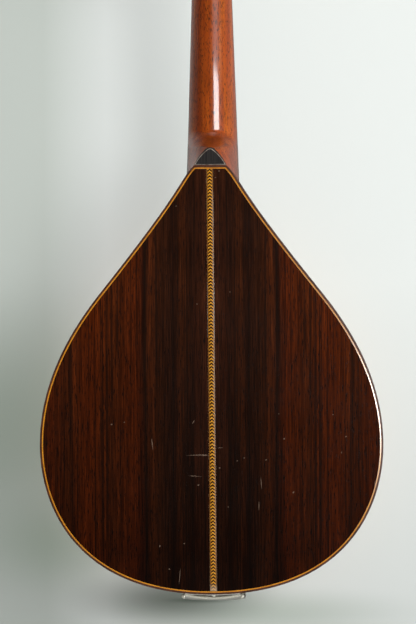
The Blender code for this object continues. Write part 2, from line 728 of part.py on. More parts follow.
def head_outline():
    half = HEAD_WIDTH / 2
    start = NUT_WIDTH / 2 - HEAD_BLANK_INSET
    knots = (
        (start, -2 * HEAD_OVERLAP),
        (start, -HEAD_OVERLAP),
        (start, HEAD_OVERLAP / 4),
        (half - HEAD_SHOULDER_INSET, HEAD_SHOULDER_HEIGHT),
        (half - HEAD_WAIST_INSET, HEAD_WAIST_HEIGHT),
        (half, HEAD_LENGTH - HEAD_WIDEST_DROP),
        (half - HEAD_SHOULDER_INSET, HEAD_LENGTH - HEAD_CORNER_DROP),
        (half * HEAD_CREST_SHARE, HEAD_LENGTH - HEAD_CREST_DROP),
        (0, HEAD_LENGTH),
        (-half * HEAD_CREST_SHARE, HEAD_LENGTH - HEAD_CREST_DROP),
    )
    side = [point.to_2d() for point in smooth_run(knots, 4)]
    return side + [Vector((-point.x, point.y)) for point in reversed(side) if point.x > 1e-6]


def post_places():
    """The side, height along the head and string name of each of the eight posts."""
    places = []
    for side, names in ((1, ("g1", "g2", "d1", "d2")), (-1, ("e1", "e2", "a1", "a2"))):
        for i, name in enumerate(names):
            places.append((side, FIRST_POST + i * POST_SPACING, name))
    return places


def make_neck():
    """One carved piece with the head and a tenon, a heel cap below and holes for the posts."""
    form = neck_form()
    cut_square(form, (0, HEEL_CAP_THICKNESS + GAP, 0), (0, 1, 0))
    neck = make_object("neck", finish_mesh(form, "neck", smooth=True), CEDAR, NECK)
    form = flat_form([head_outline()], -HEAD_THICKNESS, 0)
    lean = Matrix.Rotation(-HEAD_ANGLE, 3, "X")
    keep_beyond(form, (0, -HEAD_FACE_TRIM, 0), lean @ Vector((0, -1, 0)))
    combine(neck, cutter("head_blank", form, HEAD), "UNION")
    form = flat_form([closed_outline(-GAP)], -BEND_DEPTH, 2 * BEND_DEPTH)
    combine(neck, cutter("body_cutter", form, BODY), "DIFFERENCE")
    low = (-TENON_WIDTH / 2, -TENON_TOP - TENON_DEPTH, -TENON_LENGTH)
    tenon = box_form(low, (TENON_WIDTH / 2, -TENON_TOP, TENON_ROOT))
    combine(neck, cutter("tenon_blank", tenon, NECK), "UNION")
    holes = bmesh.new()
    for side, height, _ in post_places():
        x = side * POST_SIDE
        back = (x, -2 * HEAD_THICKNESS, height)
        add_rod(holes, POST_RADIUS + GAP, back, (x, HEAD_THICKNESS, height))
    combine(neck, cutter("post_hole_cutter", holes, HEAD), "DIFFERENCE")
    form = neck_form()
    cut_square(form, (0, 0, BODY_LENGTH + GAP), (0, 0, 1))
    cut_square(form, (0, 0, 0), (0, 1, 0))
    cut_square(form, (0, HEEL_CAP_THICKNESS, 0), (0, -1, 0))
    make_object("heel_cap", finish_mesh(form, "heel_cap"), EBONY, NECK)


def make_fretboard():
    """An ebony board with its nickel frets, tapered to the nut."""
    top = GAP + FRETBOARD_THICKNESS
    outline = [(-FRETBOARD_OVERHANG, GAP), (NUT_DISTANCE, GAP), (NUT_DISTANCE, top)]
    for number in range(1, LAST_FRET + 1):
        place = NUT_DISTANCE - SCALE_LENGTH * (1 - 2 ** (-number / 12))
        outline += [
            (place + FRET_WIDTH / 2, top),
            (place + FRET_WIDTH / 4, top + FRET_HEIGHT),
            (place - FRET_WIDTH / 4, top + FRET_HEIGHT),
            (place - FRET_WIDTH / 2, top),
        ]
    outline.append((-FRETBOARD_OVERHANG, top))
    form = drawn([outline], 1.0, SIDE_ON)
    for vert in form.verts:
        vert.co.x = math.copysign(neck_half_width(vert.co.z), vert.co.x)
    make_object("fretboard", finish_mesh(form, "fretboard"), EBONY, NECK)
    low = (-NUT_WIDTH / 2, GAP, NUT_DISTANCE + GAP)
    high = (NUT_WIDTH / 2, FRET_TOP, NUT_DISTANCE + GAP + NUT_THICKNESS)
    make_object("nut", finish_mesh(box_form(low, high), "nut"), BONE, NECK)


def make_bridge():
    """A low rosewood bridge, held on the soundboard by the strings alone."""
    top = STRING_AT_BRIDGE - GAP
    end = GAP + BRIDGE_END_HEIGHT
    half = BRIDGE_LENGTH / 2
    knots = (
        (half + BRIDGE_FOOT_LENGTH, end),
        (half, end),
        (half - BRIDGE_FOOT_LENGTH, end + BRIDGE_FOOT_RISE),
        (BRIDGE_TOP_LENGTH / 2 + BRIDGE_RAMP, top - BRIDGE_RAMP_DROP),
        (BRIDGE_TOP_LENGTH / 2, top),
        (0, top),
    )
    side = [(half, GAP)] + [tuple(point.to_2d()) for point in smooth_run(knots, 3)]
    outline = side + [(-x, y) for x, y in reversed(side)]
    form = drawn([outline], BRIDGE_WIDTH / 2, FROM_TAIL)
    for vert in form.verts:
        vert.co.z *= 1 - BRIDGE_TAPER * (vert.co.y - GAP) / (top - GAP)
        vert.co.z -= BRIDGE_DISTANCE
    make_object("bridge", finish_mesh(form, "bridge"), ROSEWOOD_EDGE, NECK)


def gear_form():
    """The gear that sits on a post, its teeth leaning with the worm's thread."""
    half = GEAR_THICKNESS / 2
    lean = GEAR_PITCH / (2 * math.pi * WORM_RADIUS * GEAR_RADIUS)
    tip = TOOTH_THICKNESS - 2 * TOOTH_RISE * math.tan(FLANK_ANGLE)
    root = TOOTH_THICKNESS + 2 * TOOTH_ROOT * math.tan(FLANK_ANGLE)
    tip_radius = GEAR_RADIUS + TOOTH_RISE
    root_radius = GEAR_RADIUS - TOOTH_ROOT
    first = GEAR_PITCH / (4 * GEAR_RADIUS) + math.pi / GEAR_TEETH
    rings = []
    for depth in (-half, half):
        ring = []
        for i in range(GEAR_TEETH):
            middle = first - depth * lean + 2 * math.pi * i / GEAR_TEETH
            for radius, across in (
                (root_radius, -root / 2),
                (tip_radius, -tip / 2),
                (tip_radius, tip / 2),
                (root_radius, root / 2),
            ):
                angle = middle + across / radius
                ring.append((radius * math.sin(angle), depth, -radius * math.cos(angle)))
        rings.append(ring)
    form = bmesh.new()
    loft(form, rings)
    return form


def post_mesh():
    """A roller post with its gear, drawn round the post's axis."""
    form = gear_form()
    bmesh.ops.translate(form, vec=(0, GEAR_MIDDLE, 0), verts=form.verts)
    gear = cutter("gear_blank", form, None)
    rod = bmesh.new()
    foot = GEAR_MIDDLE - GEAR_THICKNESS / 2 - POST_FOOT
    add_rod(rod, POST_RADIUS, (0, foot, 0), (0, POST_RISE, 0))
    combine(gear, cutter("post_blank", rod, None), "UNION")
    mesh = settled(gear)
    mesh.name = "tuner_post"
    return mesh


def thread_form():
    """The worm's thread: a tapered ridge that climbs one pitch a turn."""
    crest = THREAD_THICKNESS - 2 * TOOTH_RISE * math.tan(FLANK_ANGLE)
    sunk = WORM_RADIUS - WORM_CORE_RADIUS + THREAD_SINK
    base = THREAD_THICKNESS + 2 * sunk * math.tan(FLANK_ANGLE)
    turns = (WORM_LENGTH - base) / GEAR_PITCH
    count = round(turns * THREAD_STEPS)
    rings = []
    for i in range(-(count // 2), count // 2 + 1):
        turn = 2 * math.pi * i / THREAD_STEPS
        along = GEAR_PITCH * i / THREAD_STEPS
        ring = []
        for radius, across in (
            (WORM_RADIUS - sunk, -base / 2),
            (WORM_RADIUS + TOOTH_RISE, -crest / 2),
            (WORM_RADIUS + TOOTH_RISE, crest / 2),
            (WORM_RADIUS - sunk, base / 2),
        ):
            ring.append((along + across, radius * math.cos(turn), radius * math.sin(turn)))
        rings.append(ring)
    form = bmesh.new()
    loft(form, rings)
    return form


def worm_mesh():
    """The worm and its shaft, drawn round the shaft's axis and running out along +X."""
    thread = cutter("thread_blank", thread_form(), None)
    rod = bmesh.new()
    inner = -(WORM_LENGTH / 2 + GAP + TAB_THICKNESS + SHAFT_OVERHANG)
    outer = BUTTON_MIDDLE - BUTTON_HALF_LENGTH + BUTTON_BORE_DEPTH - GAP - POST_SIDE
    add_rod(rod, WORM_CORE_RADIUS, (inner, 0, 0), (outer, 0, 0), sides=10)
    combine(thread, cutter("shaft_blank", rod, None), "UNION")
    mesh = settled(thread)
    mesh.name = "tuner_worm"
    return mesh


def button_mesh():
    """An oval ivoroid button with a blind bore for its shaft."""
    form = bmesh.new()
    bmesh.ops.create_uvsphere(form, u_segments=12, v_segments=8, radius=1.0)
    bmesh.ops.rotate(form, matrix=Matrix.Rotation(math.radians(90), 3, "Y"), verts=form.verts)
    size = (BUTTON_HALF_LENGTH, BUTTON_THICKNESS, BUTTON_RADIUS)
    bmesh.ops.scale(form, vec=size, verts=form.verts)
    button = cutter("button_blank", form, None)
    bore = bmesh.new()
    mouth = (-BUTTON_HALF_LENGTH - BUTTON_CLEARANCE, 0, 0)
    bottom = (-BUTTON_HALF_LENGTH + BUTTON_BORE_DEPTH, 0, 0)
    add_rod(bore, WORM_CORE_RADIUS + GAP, mouth, bottom, sides=8)
    combine(button, cutter("button_bore", bore, None), "DIFFERENCE")
    mesh = settled(button)
    mesh.name = "tuner_button"
    return mesh


def make_tuner_plate(name, side):
    """A nickel plate on the head's back, with tabs that hold four worm shafts."""
    edge = PLATE_WIDTH / 2
    last = FIRST_POST + 3 * POST_SPACING
    low = (side * POST_SIDE - edge, PLATE_BACK, FIRST_POST - PLATE_MARGIN)
    high = (side * POST_SIDE + edge, PLATE_BACK + PLATE_THICKNESS, last + PLATE_MARGIN)
    plate = make_object(name, finish_mesh(box_form(low, high), name), NICKEL, HEAD)
    tabs = bmesh.new()
    bores = bmesh.new()
    for i in range(4):
        height = FIRST_POST + i * POST_SPACING
        axis = height - WORM_DROP
        for way in (-1, 1):
            near = side * POST_SIDE + way * (WORM_LENGTH / 2 + GAP)
            far = near + way * TAB_THICKNESS
            low = (min(near, far), GEAR_MIDDLE - TAB_DROP, axis - TAB_WIDTH / 2)
            high = (max(near, far), PLATE_BACK + PLATE_THICKNESS / 2, axis + TAB_WIDTH / 2)
            add_box(tabs, low, high)
        reach = WORM_LENGTH / 2 + GAP + 2 * TAB_THICKNESS
        start = (side * POST_SIDE - reach, GEAR_MIDDLE, axis)
        end = (side * POST_SIDE + reach, GEAR_MIDDLE, axis)
        add_rod(bores, WORM_CORE_RADIUS + GAP, start, end, sides=8)
        start = (side * POST_SIDE, PLATE_BACK - PLATE_THICKNESS, height)
        end = (side * POST_SIDE, PLATE_BACK + 2 * PLATE_THICKNESS, height)
        add_rod(bores, POST_RADIUS + GAP, start, end)
    combine(plate, cutter(name + "_tabs", tabs, HEAD), "UNION")
    combine(plate, cutter(name + "_bores", bores, HEAD), "DIFFERENCE")


def make_tuners():
    """Two plates of four worm-gear tuners, each with a post, a worm shaft and a button."""
    make_tuner_plate("tuner_plate_bass", 1)
    make_tuner_plate("tuner_plate_treble", -1)
    post, worm, button = post_mesh(), worm_mesh(), button_mesh()
    for mesh, finish in ((post, BRASS), (worm, NICKEL), (button, IVOROID)):
        mesh.materials.clear()
        mesh.materials.append(finish)
        mesh.shade_smooth()
        mesh.set_sharp_from_angle(angle=math.radians(35))
    for side, height, name in post_places():
        make_object("tuner_post_" + name, post, None, HEAD).location = (side * POST_SIDE, 0, height)
        axis = height - WORM_DROP
        shaft = make_object("tuner_worm_" + name, worm, None, HEAD)
        shaft.location = (side * POST_SIDE, GEAR_MIDDLE, axis)
        knob = make_object("tuner_button_" + name, button, None, HEAD)
        knob.location = (side * BUTTON_MIDDLE, GEAR_MIDDLE, axis)
        if side < 0:
            shaft.rotation_euler.y = math.pi
            knob.rotation_euler.y = math.pi


def make_strings():
    """Four courses of two strings from the tailpiece hooks over bridge and nut to the posts."""
    posts = {name: (side, height) for side, height, name in post_places()}
    hook_height = HOOK_DISTANCE + HOOK_THICKNESS / 2 + GAP
    bridge_edge = BRIDGE_WIDTH / 2 * (1 - BRIDGE_TAPER)
    for i, course in enumerate(COURSE_NAMES):
        middle = i - 1.5
        radius = STRING_RADII[i]
        finish = BRONZE if radius > THICKEST_PLAIN else STEEL
        for number, away in ((1, 1), (2, -1)):
            outward = math.copysign(0.5, middle) * away
            at_hooks = middle * COURSE_AT_HOOKS + outward * PAIR_AT_HOOKS
            at_bridge = middle * COURSE_AT_BRIDGE + outward * PAIR_AT_BRIDGE
            at_nut = middle * COURSE_AT_NUT + outward * PAIR_AT_NUT
            name = f"{course}{number}"
            side, height = posts[name]
            hook_depth = top_depth(hook_height) + GAP + TAILPIECE_THICKNESS + HOOK_HEIGHT * STRING_ON_HOOK
            to_body, to_head = neck_matrix(), head_matrix()
            over_bridge = STRING_AT_BRIDGE + radius
            over_nut = STRING_AT_NUT + radius
            beside_post = side * (POST_SIDE - POST_RADIUS - GAP - radius)
            points = (
                Vector((at_hooks, hook_depth, hook_height)),
                to_body @ Vector((at_bridge, over_bridge, -BRIDGE_DISTANCE - bridge_edge)),
                to_body @ Vector((at_bridge, over_bridge, -BRIDGE_DISTANCE + bridge_edge)),
                to_body @ Vector((at_nut, over_nut, NUT_DISTANCE)),
                to_body @ Vector((at_nut, over_nut, NECK_END)),
                to_head @ Vector((beside_post, STRING_HOLE_RISE, height)),
            )
            make_string("string_" + name, points, radius, finish)


def make_string(name, points, radius, finish):
    curve = bpy.data.curves.new(name, "CURVE")
    curve.dimensions = "3D"
    curve.bevel_depth = radius
    curve.bevel_resolution = 1
    curve.use_fill_caps = True
    spline = curve.splines.new("POLY")
    spline.points.add(len(points) - 1)
    for point, place in zip(spline.points, points):
        point.co = (*place, 1)
    curve.materials.append(finish)
    string = bpy.data.objects.new(name, curve)
    PARTS.objects.link(string)
    string.parent = BODY


def make_tailpiece(sides, tail_block):
    """A nickel plate bent over the tail edge, with four double hooks, and the screw that holds it."""
    edge = -GAP - TAILPIECE_THICKNESS
    top = GAP + TAILPIECE_THICKNESS
    outline = (
        (edge, TAILPIECE_FOOT_DEPTH),
        (-GAP, TAILPIECE_FOOT_DEPTH),
        (-GAP, top_depth(-GAP) + GAP),
        (TAILPIECE_REACH, top_depth(TAILPIECE_REACH) + GAP),
        (TAILPIECE_REACH, top_depth(TAILPIECE_REACH) + top),
        (edge, top_depth(edge) + top),
    )
    form = drawn([outline], TAILPIECE_WIDTH / 2, SIDE_ON)
    bend_to_tail(form)
    tailpiece = make_object("tailpiece", finish_mesh(form, "tailpiece"), NICKEL, BODY)
    hooks = bmesh.new()
    for i in range(4):
        x = (i - 1.5) * COURSE_AT_HOOKS
        low = HOOK_DISTANCE - HOOK_THICKNESS / 2
        foot = top_depth(low) + GAP + TAILPIECE_THICKNESS / 2
        tip = foot + TAILPIECE_THICKNESS / 2 + HOOK_HEIGHT
        high = HOOK_DISTANCE + HOOK_THICKNESS / 2
        add_box(hooks, (x - HOOK_WIDTH / 2, foot, low), (x + HOOK_WIDTH / 2, tip, high))
    combine(tailpiece, cutter("hook_blank", hooks, BODY), "UNION")
    bore = bmesh.new()
    bottom = (0, SCREW_DEPTH, SCREW_LENGTH + GAP)
    add_rod(bore, SCREW_BORE_RADIUS, (0, SCREW_DEPTH, edge * 2), bottom, sides=10)
    bore = cutter("screw_bore", bore, BODY)
    for thing in (tailpiece, *sides, tail_block):
        combine(thing, bore, "DIFFERENCE")
    form = bmesh.new()
    seat = edge - GAP
    crown = (0, SCREW_DEPTH, seat - SCREW_HEAD_HEIGHT)
    add_rod(form, SCREW_HEAD_RADIUS, crown, (0, SCREW_DEPTH, seat), sides=12)
    head = make_object("tailpiece_screw", finish_mesh(form, "tailpiece_screw"), NICKEL, BODY)
    form = bmesh.new()
    start = (0, SCREW_DEPTH, seat - SCREW_HEAD_HEIGHT / 2)
    add_rod(form, SCREW_RADIUS, start, (0, SCREW_DEPTH, SCREW_LENGTH), sides=10)
    combine(head, cutter("screw_shank", form, BODY), "UNION")


def bend_to_tail(form):
    """Curves a form that was drawn flat round the tail of the body."""
    for i in range(1, TAIL_BENDS):
        x = TAILPIECE_WIDTH * (i / TAIL_BENDS - 0.5)
        split_at(form, (x, 0, 0), (1, 0, 0))
    for vert in form.verts:
        vert.co.z += tail_rise(vert.co.x)


def make_cover():
    """A nickel cover that slides over the hooks and hangs past the tail in a skirt with a lip."""
    front = top_depth(COVER_LENGTH) + GAP + COVER_HEIGHT
    over_edge = TAIL_DEPTH + GAP + COVER_HEIGHT
    knots = (
        (COVER_LENGTH * 1.5, front, COVER_HEIGHT),
        (COVER_LENGTH, front, COVER_HEIGHT),
        (COVER_LENGTH / 2, (front + over_edge) / 2, COVER_HEIGHT),
        (COVER_SHOULDER_HEIGHT, over_edge - COVER_SHOULDER_DROP, COVER_SHOULDER_CURVE),
        (-COVER_BACK_DROP + COVER_TURN_RISE, TAIL_DEPTH + COVER_TURN_DEPTH, COVER_SKIRT_BOW * 2),
        (-COVER_BACK_DROP, TAIL_DEPTH - COVER_SKIRT_DEPTH, COVER_SKIRT_BOW),
        (-COVER_LIP_DROP, COVER_LIP_DEPTH, COVER_SKIRT_BOW),
        (-COVER_LIP_DROP + COVER_LIP_CURL, -COVER_LIP_DROP, COVER_SKIRT_BOW),
    )
    run = smooth_run(knots, 2)
    form = bmesh.new()
    bmesh.ops.create_grid(form, x_segments=COVER_COLUMNS, y_segments=len(run) - 1, size=1.0)
    for vert in form.verts:
        row = round((vert.co.y + 1) / 2 * (len(run) - 1))
        before = run[max(row - 1, 0)]
        after = run[min(row + 1, len(run) - 1)]
        way = (after - before).to_2d().normalized()
        across = math.sin(vert.co.x * math.pi / 2)
        fall = run[row].z * (1 - math.sqrt(1 - min(abs(across) ** 3, 1)))
        height = run[row].x - way.y * fall
        depth = run[row].y - abs(way.x) * fall
        vert.co = (across * COVER_WIDTH / 2, depth, height)
    mesh = finish_mesh(form, "tailpiece_cover", smooth=True)
    cover = make_object("tailpiece_cover", mesh, NICKEL, BODY)
    shell = cover.modifiers.new("shell", "SOLIDIFY")
    shell.thickness = COVER_THICKNESS
    shell.offset = -1
    shell.use_even_offset = True


make_back()
SIDES = make_sides()
make_soundboard()
make_pickguard()
make_linings()
TAIL_BLOCK = make_blocks()
make_braces()
make_neck()
make_fretboard()
make_bridge()
make_tuners()
make_strings()
make_tailpiece(SIDES, TAIL_BLOCK)
make_cover()
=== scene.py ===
"""A flat back mandolin, seen from behind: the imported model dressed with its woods, metal and strings."""

import math

import bmesh
import bpy
from mathutils import Matrix, Vector
from mathutils.geometry import interpolate_bezier


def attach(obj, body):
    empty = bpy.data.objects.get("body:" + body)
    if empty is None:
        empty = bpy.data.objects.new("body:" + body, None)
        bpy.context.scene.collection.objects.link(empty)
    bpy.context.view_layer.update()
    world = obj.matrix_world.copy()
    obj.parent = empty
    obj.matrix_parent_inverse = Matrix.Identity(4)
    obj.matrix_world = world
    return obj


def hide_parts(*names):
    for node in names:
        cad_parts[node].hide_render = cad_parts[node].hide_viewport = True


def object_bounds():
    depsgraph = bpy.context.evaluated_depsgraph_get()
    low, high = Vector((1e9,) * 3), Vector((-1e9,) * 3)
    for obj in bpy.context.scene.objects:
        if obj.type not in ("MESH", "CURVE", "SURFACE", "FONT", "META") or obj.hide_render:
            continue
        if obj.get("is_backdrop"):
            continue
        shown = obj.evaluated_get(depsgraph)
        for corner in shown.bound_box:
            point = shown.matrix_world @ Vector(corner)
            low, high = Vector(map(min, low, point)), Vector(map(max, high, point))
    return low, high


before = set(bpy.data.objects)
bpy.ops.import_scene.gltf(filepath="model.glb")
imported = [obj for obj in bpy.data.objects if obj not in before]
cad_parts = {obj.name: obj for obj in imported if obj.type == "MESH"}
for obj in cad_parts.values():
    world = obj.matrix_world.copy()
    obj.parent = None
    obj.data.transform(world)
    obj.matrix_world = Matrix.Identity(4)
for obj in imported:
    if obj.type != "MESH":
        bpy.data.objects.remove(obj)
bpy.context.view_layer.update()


# The camera stands level behind the instrument, two degrees round to its bass side, and looks square
# at the flat back through a long lens. The head is above the picture.
def add_object(name, data):
    """A new object in the scene, made from a camera, a lamp, a mesh or a curve."""
    made = bpy.data.objects.new(name, data)
    bpy.context.scene.collection.objects.link(made)
    return made


AIM = Vector((-0.001983, -0.033509, -0.263259))
CAMERA_DISTANCE = 2.7
camera_turn = math.radians(2.307)
camera_roll = math.radians(-0.255)
away = Vector((math.sin(camera_turn), -math.cos(camera_turn), 0))
right = Vector((math.cos(camera_turn), math.sin(camera_turn), 0)) * math.cos(camera_roll)
right.z = math.sin(camera_roll)
camera_data = bpy.data.cameras.new("photo_camera")
camera_data.lens = 214.27
camera_data.sensor_width = 36
camera_data.clip_end = 100
camera = add_object("photo_camera", camera_data)
camera_axes = Matrix((right, away.cross(right), away)).transposed().to_4x4()
camera.matrix_world = Matrix.Translation(AIM + CAMERA_DISTANCE * away) @ camera_axes
bpy.context.scene.camera = camera
bpy.context.scene.view_settings.view_transform = "Standard"


# The sheet of pale paper behind the instrument and the floor below it. Both show to the camera from the
# front only, so that they never stand between another camera and the instrument. The upright sheet carries
# painted shade: it is painted darker to the left and at its foot, and soft shadows are painted on it, low
# on the left and below the tail.
def fill_inputs(tree, node, inputs):
    """Sets a node's inputs, each to a value or to another node's output."""
    for socket, value in inputs.items():
        if isinstance(value, bpy.types.NodeSocket):
            tree.links.new(value, node.inputs[socket])
        else:
            node.inputs[socket].default_value = value


def add_node(tree, kind, inputs, **settings):
    """Adds a node with these inputs and settings."""
    made = tree.nodes.new("ShaderNode" + kind)
    for setting, value in settings.items():
        setattr(made, setting, value)
    fill_inputs(tree, made, inputs)
    return made


def reckon(tree, operation, *values):
    """A sum on one to three numbers."""
    return add_node(tree, "Math", dict(enumerate(values)), operation=operation).outputs["Value"]


def vectors(tree, operation, *values, output="Vector"):
    """A sum on one to three vectors."""
    return add_node(tree, "VectorMath", dict(enumerate(values)), operation=operation).outputs[output]


def spread(tree, value, low, high, to_low=0.0, to_high=1.0, way="LINEAR"):
    """Turns the span from low to high into the span from to_low to to_high, and stops at both ends."""
    inputs = {"Value": value, "From Min": low, "From Max": high, "To Min": to_low, "To Max": to_high}
    return add_node(tree, "MapRange", inputs, interpolation_type=way).outputs["Result"]


def add_ramp(tree, share, stops):
    """A colour ramp; each stop is a place and a grey level or a colour."""
    ramp = add_node(tree, "ValToRGB", {"Fac": share})
    elements = ramp.color_ramp.elements
    while len(elements) < len(stops):
        elements.new(1.0)
    for element, (place, level) in zip(elements, stops):
        element.position = place
        element.color = (*level, 1) if isinstance(level, tuple) else (level, level, level, 1)
    return ramp.outputs["Color"]


def blend(tree, share, first, second, how="MIX"):
    """Blends two colours."""
    return add_node(tree, "MixRGB", {0: share, 1: first, 2: second}, blend_type=how).outputs["Color"]


def shade(tree, colours, figure, stops, share=1.0):
    """Darkens or brightens colours by a ramp along a figure."""
    return blend(tree, share, colours, add_ramp(tree, figure, stops), "MULTIPLY")


def reach_from(tree, place, middle, halves, lean=0.0):
    """Distance from a spot's middle in X and Z, counted in the spot's half sizes."""
    inputs = {
        "Vector": place, "Location": (middle[0], 0, middle[1]), "Rotation": (0, lean, 0),
        "Scale": (halves[0], 1000, halves[1]),
    }
    centred = add_node(tree, "Mapping", inputs, vector_type="TEXTURE")
    return vectors(tree, "LENGTH", centred.outputs["Vector"], output="Value")


def new_finish(name):
    """A new node material, with its tree, its shader and the place of each point on the piece."""
    finish = bpy.data.materials.new(name)
    finish.use_nodes = True
    tree = finish.node_tree
    place = add_node(tree, "TexCoord", {}).outputs["Object"]
    return finish, tree, tree.nodes["Principled BSDF"], place


def paper(name, left_tone, right_tone, low_share, shadows, lift, mirrored):
    """Pale paper that is seen from one side, and lets the lamps behind it shine through.

    It is painted darker to the left and at its foot, as painted shade, and has painted soft shadows, each
    with its middle, its half sizes and its darkest share. It glows a little, and fully where it is far away,
    so that no edge shows there. A polished surface shows a share of the paper near the instrument and
    another share of the paper in front of it.
    """
    finish, tree, shader, place = new_finish(name)
    path = add_node(tree, "LightPath", {}).outputs
    parts = add_node(tree, "SeparateXYZ", {"Vector": place}).outputs
    # Painted shade: a darker band to the left and a darker foot, where the light falls off.
    tones = ((0, right_tone), (0.40, left_tone), (0.571, left_tone), (0.618, right_tone))
    tone = add_ramp(tree, spread(tree, parts["X"], -0.70, 0.30), tones)
    tone = shade(tree, tone, spread(tree, parts["Z"], -0.50, -0.24), ((0, low_share), (1, 1.0)))
    # Soft shadows painted on the paper, tinted a little green.
    for x, z, half_width, half_height, darkest in shadows:
        reach = reach_from(tree, place, (x, z), (half_width, half_height))
        reach = spread(tree, reach, 0.0, 2.0, way="SMOOTHSTEP")
        tint = (darkest * 0.96, darkest * 1.02, darkest * 0.95)
        tone = shade(tree, tone, reach, ((0, tint), (1, (1, 1, 1))))
    nearness = spread(tree, parts["Y"], -0.6, -0.2, mirrored[1], mirrored[0])
    seen_whole = reckon(tree, "SUBTRACT", 1.0, path["Is Glossy Ray"])
    tone = blend(tree, 1.0, tone, reckon(tree, "MAXIMUM", seen_whole, nearness), "MULTIPLY")
    tone = blend(tree, path["Is Diffuse Ray"], tone, (0.20, 0.21, 0.20, 1))
    fill_inputs(tree, shader, {"Base Color": tone, "Roughness": 0.9, "Specular IOR Level": 0.0})
    glow = add_node(tree, "Emission", {"Color": tone, "Strength": 1.0}).outputs["Emission"]
    glow_share = spread(tree, vectors(tree, "LENGTH", place, output="Value"), 0.7, 2.2, lift, 1.0)
    lit = add_node(tree, "MixShader", {0: glow_share, 1: shader.outputs["BSDF"], 2: glow}).outputs["Shader"]
    back = add_node(tree, "NewGeometry", {}).outputs["Backfacing"]
    unseen = reckon(tree, "MAXIMUM", back, path["Is Shadow Ray"])
    clear = add_node(tree, "BsdfTransparent", {}).outputs["BSDF"]
    shown = add_node(tree, "MixShader", {0: unseen, 1: lit, 2: clear}).outputs["Shader"]
    fill_inputs(tree, tree.nodes["Material Output"], {"Surface": shown})
    return finish


SHEET_HALF_SIZE = 8.0
BACKDROP_Y = 0.066
FLOOR_Z = -0.535
PALE = (0.83, 0.86, 0.84)
# Painted shadows on the upright sheet: X, Z, half width, half height and darkest share.
PAINTED_SHADOWS = (
    (-0.1620, -0.3480, 0.083, 0.0640, 0.72), (-0.1167, -0.4387, 0.045, 0.0250, 0.80),
    (-0.0338, -0.4786, 0.045, 0.0135, 0.32), (0.0300, -0.4900, 0.075, 0.0120, 0.74),
    (-0.0113, -0.4805, 0.018, 0.0016, 0.55),
)


def stage_sheet(name, finish, place):
    """A wide flat sheet that belongs to the studio and not to the instrument."""
    form = bmesh.new()
    bmesh.ops.create_grid(form, x_segments=4, y_segments=4, size=SHEET_HALF_SIZE, matrix=place)
    mesh = bpy.data.meshes.new(name)
    form.to_mesh(mesh)
    form.free()
    mesh.materials.append(finish)
    add_object(name, mesh)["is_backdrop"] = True


# The backdrop's darker left tone and its darker foot are painted shade.
backdrop_paper = paper(
    "backdrop_paper", (0.60, 0.645, 0.60), (0.83, 0.865, 0.84), 0.80, PAINTED_SHADOWS, 0.22, (0.20, 0.20)
)
floor_paper = paper("floor_paper", PALE, PALE, 1.0, (), 0.60, (0.70, 0.04))
upright = Matrix.Rotation(math.radians(90), 4, "X")
stage_sheet("backdrop", backdrop_paper, Matrix.Translation((0, BACKDROP_Y, 0)) @ upright)
stage_sheet("floor", floor_paper, Matrix.Translation((0, 0, FLOOR_Z)))


# Soft studio light: a soft box near the camera on its right, a larger one further round to the right, one
# overhead, and two more that light the strings and the soundboard from the other side. The room is pale
# to the eye, dim on the left and bright on the right.
def soft_box(name, place, aim, width, height, power, shadow=True, mirrored=True):
    """A rectangular soft lamp that faces a point. Its shadow and its mirror image can be left out."""
    data = bpy.data.lights.new(name, "AREA")
    data.shape = "RECTANGLE"
    data.size = width
    data.size_y = height
    data.energy = power
    data.use_shadow = shadow
    lamp = add_object(name, data)
    lamp.location = place
    lamp.rotation_euler = (Vector(place) - Vector(aim)).to_track_quat("Z", "Y").to_euler()
    lamp.visible_camera = False
    lamp.visible_glossy = mirrored


MIDDLE = (0, 0, -0.25)
# The soft box near the camera casts no shadow; the shadows it would cast are painted on the backdrop.
soft_box("key_box", (0.98, -1.85, -0.260), (0, 0, -0.260), 1.0, 0.45, 22.0, shadow=False)
soft_box("side_box", (1.35, -1.35, 0.30), MIDDLE, 0.9, 1.1, 15.0, mirrored=False)
soft_box("front_key_box", (-1.4, 1.7, 0.6), MIDDLE, 1.0, 1.2, 30.0)
soft_box("front_fill_box", (1.8, 1.5, 0.2), MIDDLE, 1.2, 1.2, 14.0)
soft_box("top_box", (0.1, -0.4, 1.9), MIDDLE, 1.0, 1.0, 5.0)

room = bpy.data.worlds.new("room")
bpy.context.scene.world = room
room.use_nodes = True
tree = room.node_tree
path = add_node(tree, "LightPath", {}).outputs
facing = add_node(tree, "TexCoord", {}).outputs["Generated"]
facing = add_node(tree, "SeparateXYZ", {"Vector": facing}).outputs
mirrored = add_ramp(tree, spread(tree, facing["Y"], -0.15, 0.25), ((0, 0.05), (1, 0.75)))
filled = add_ramp(tree, spread(tree, facing["X"], -1.0, 1.0), ((0, 0.02), (0.5, 0.18), (1, 1.15)))
unseen = blend(tree, path["Is Glossy Ray"], filled, mirrored)
seen = reckon(tree, "MAXIMUM", path["Is Camera Ray"], path["Is Transmission Ray"])
fill_inputs(tree, tree.nodes["Background"], {"Color": blend(tree, seen, unseen, (*PALE, 1))})

# The back: two bookmatched rosewood plates, 2.5 mm thick and flat, sawn from one board and opened like
# a book, so that each streak has its mirror image across the middle. Lacquered, with dings and scratches.
# The joint between them was glued a little askew.
TAIL = -0.468737
BACK = -0.033509
GAP = 0.0003
BODY_LENGTH = 0.312
BACK_THICKNESS = 0.0025
BINDING_WIDTH = 0.0011
PURFLING_WIDTH = 0.0009
BACK_EDGE = BINDING_WIDTH + GAP + PURFLING_WIDTH + GAP
STRIP_WIDTH = 0.0049
JOINT_AT_TAIL = 0.0011
JOINT_LEAN = 0.00471
IN_BODY = Matrix.Translation((0, BACK, TAIL))
HANDS = ((1, "bass"), (-1, "treble"))


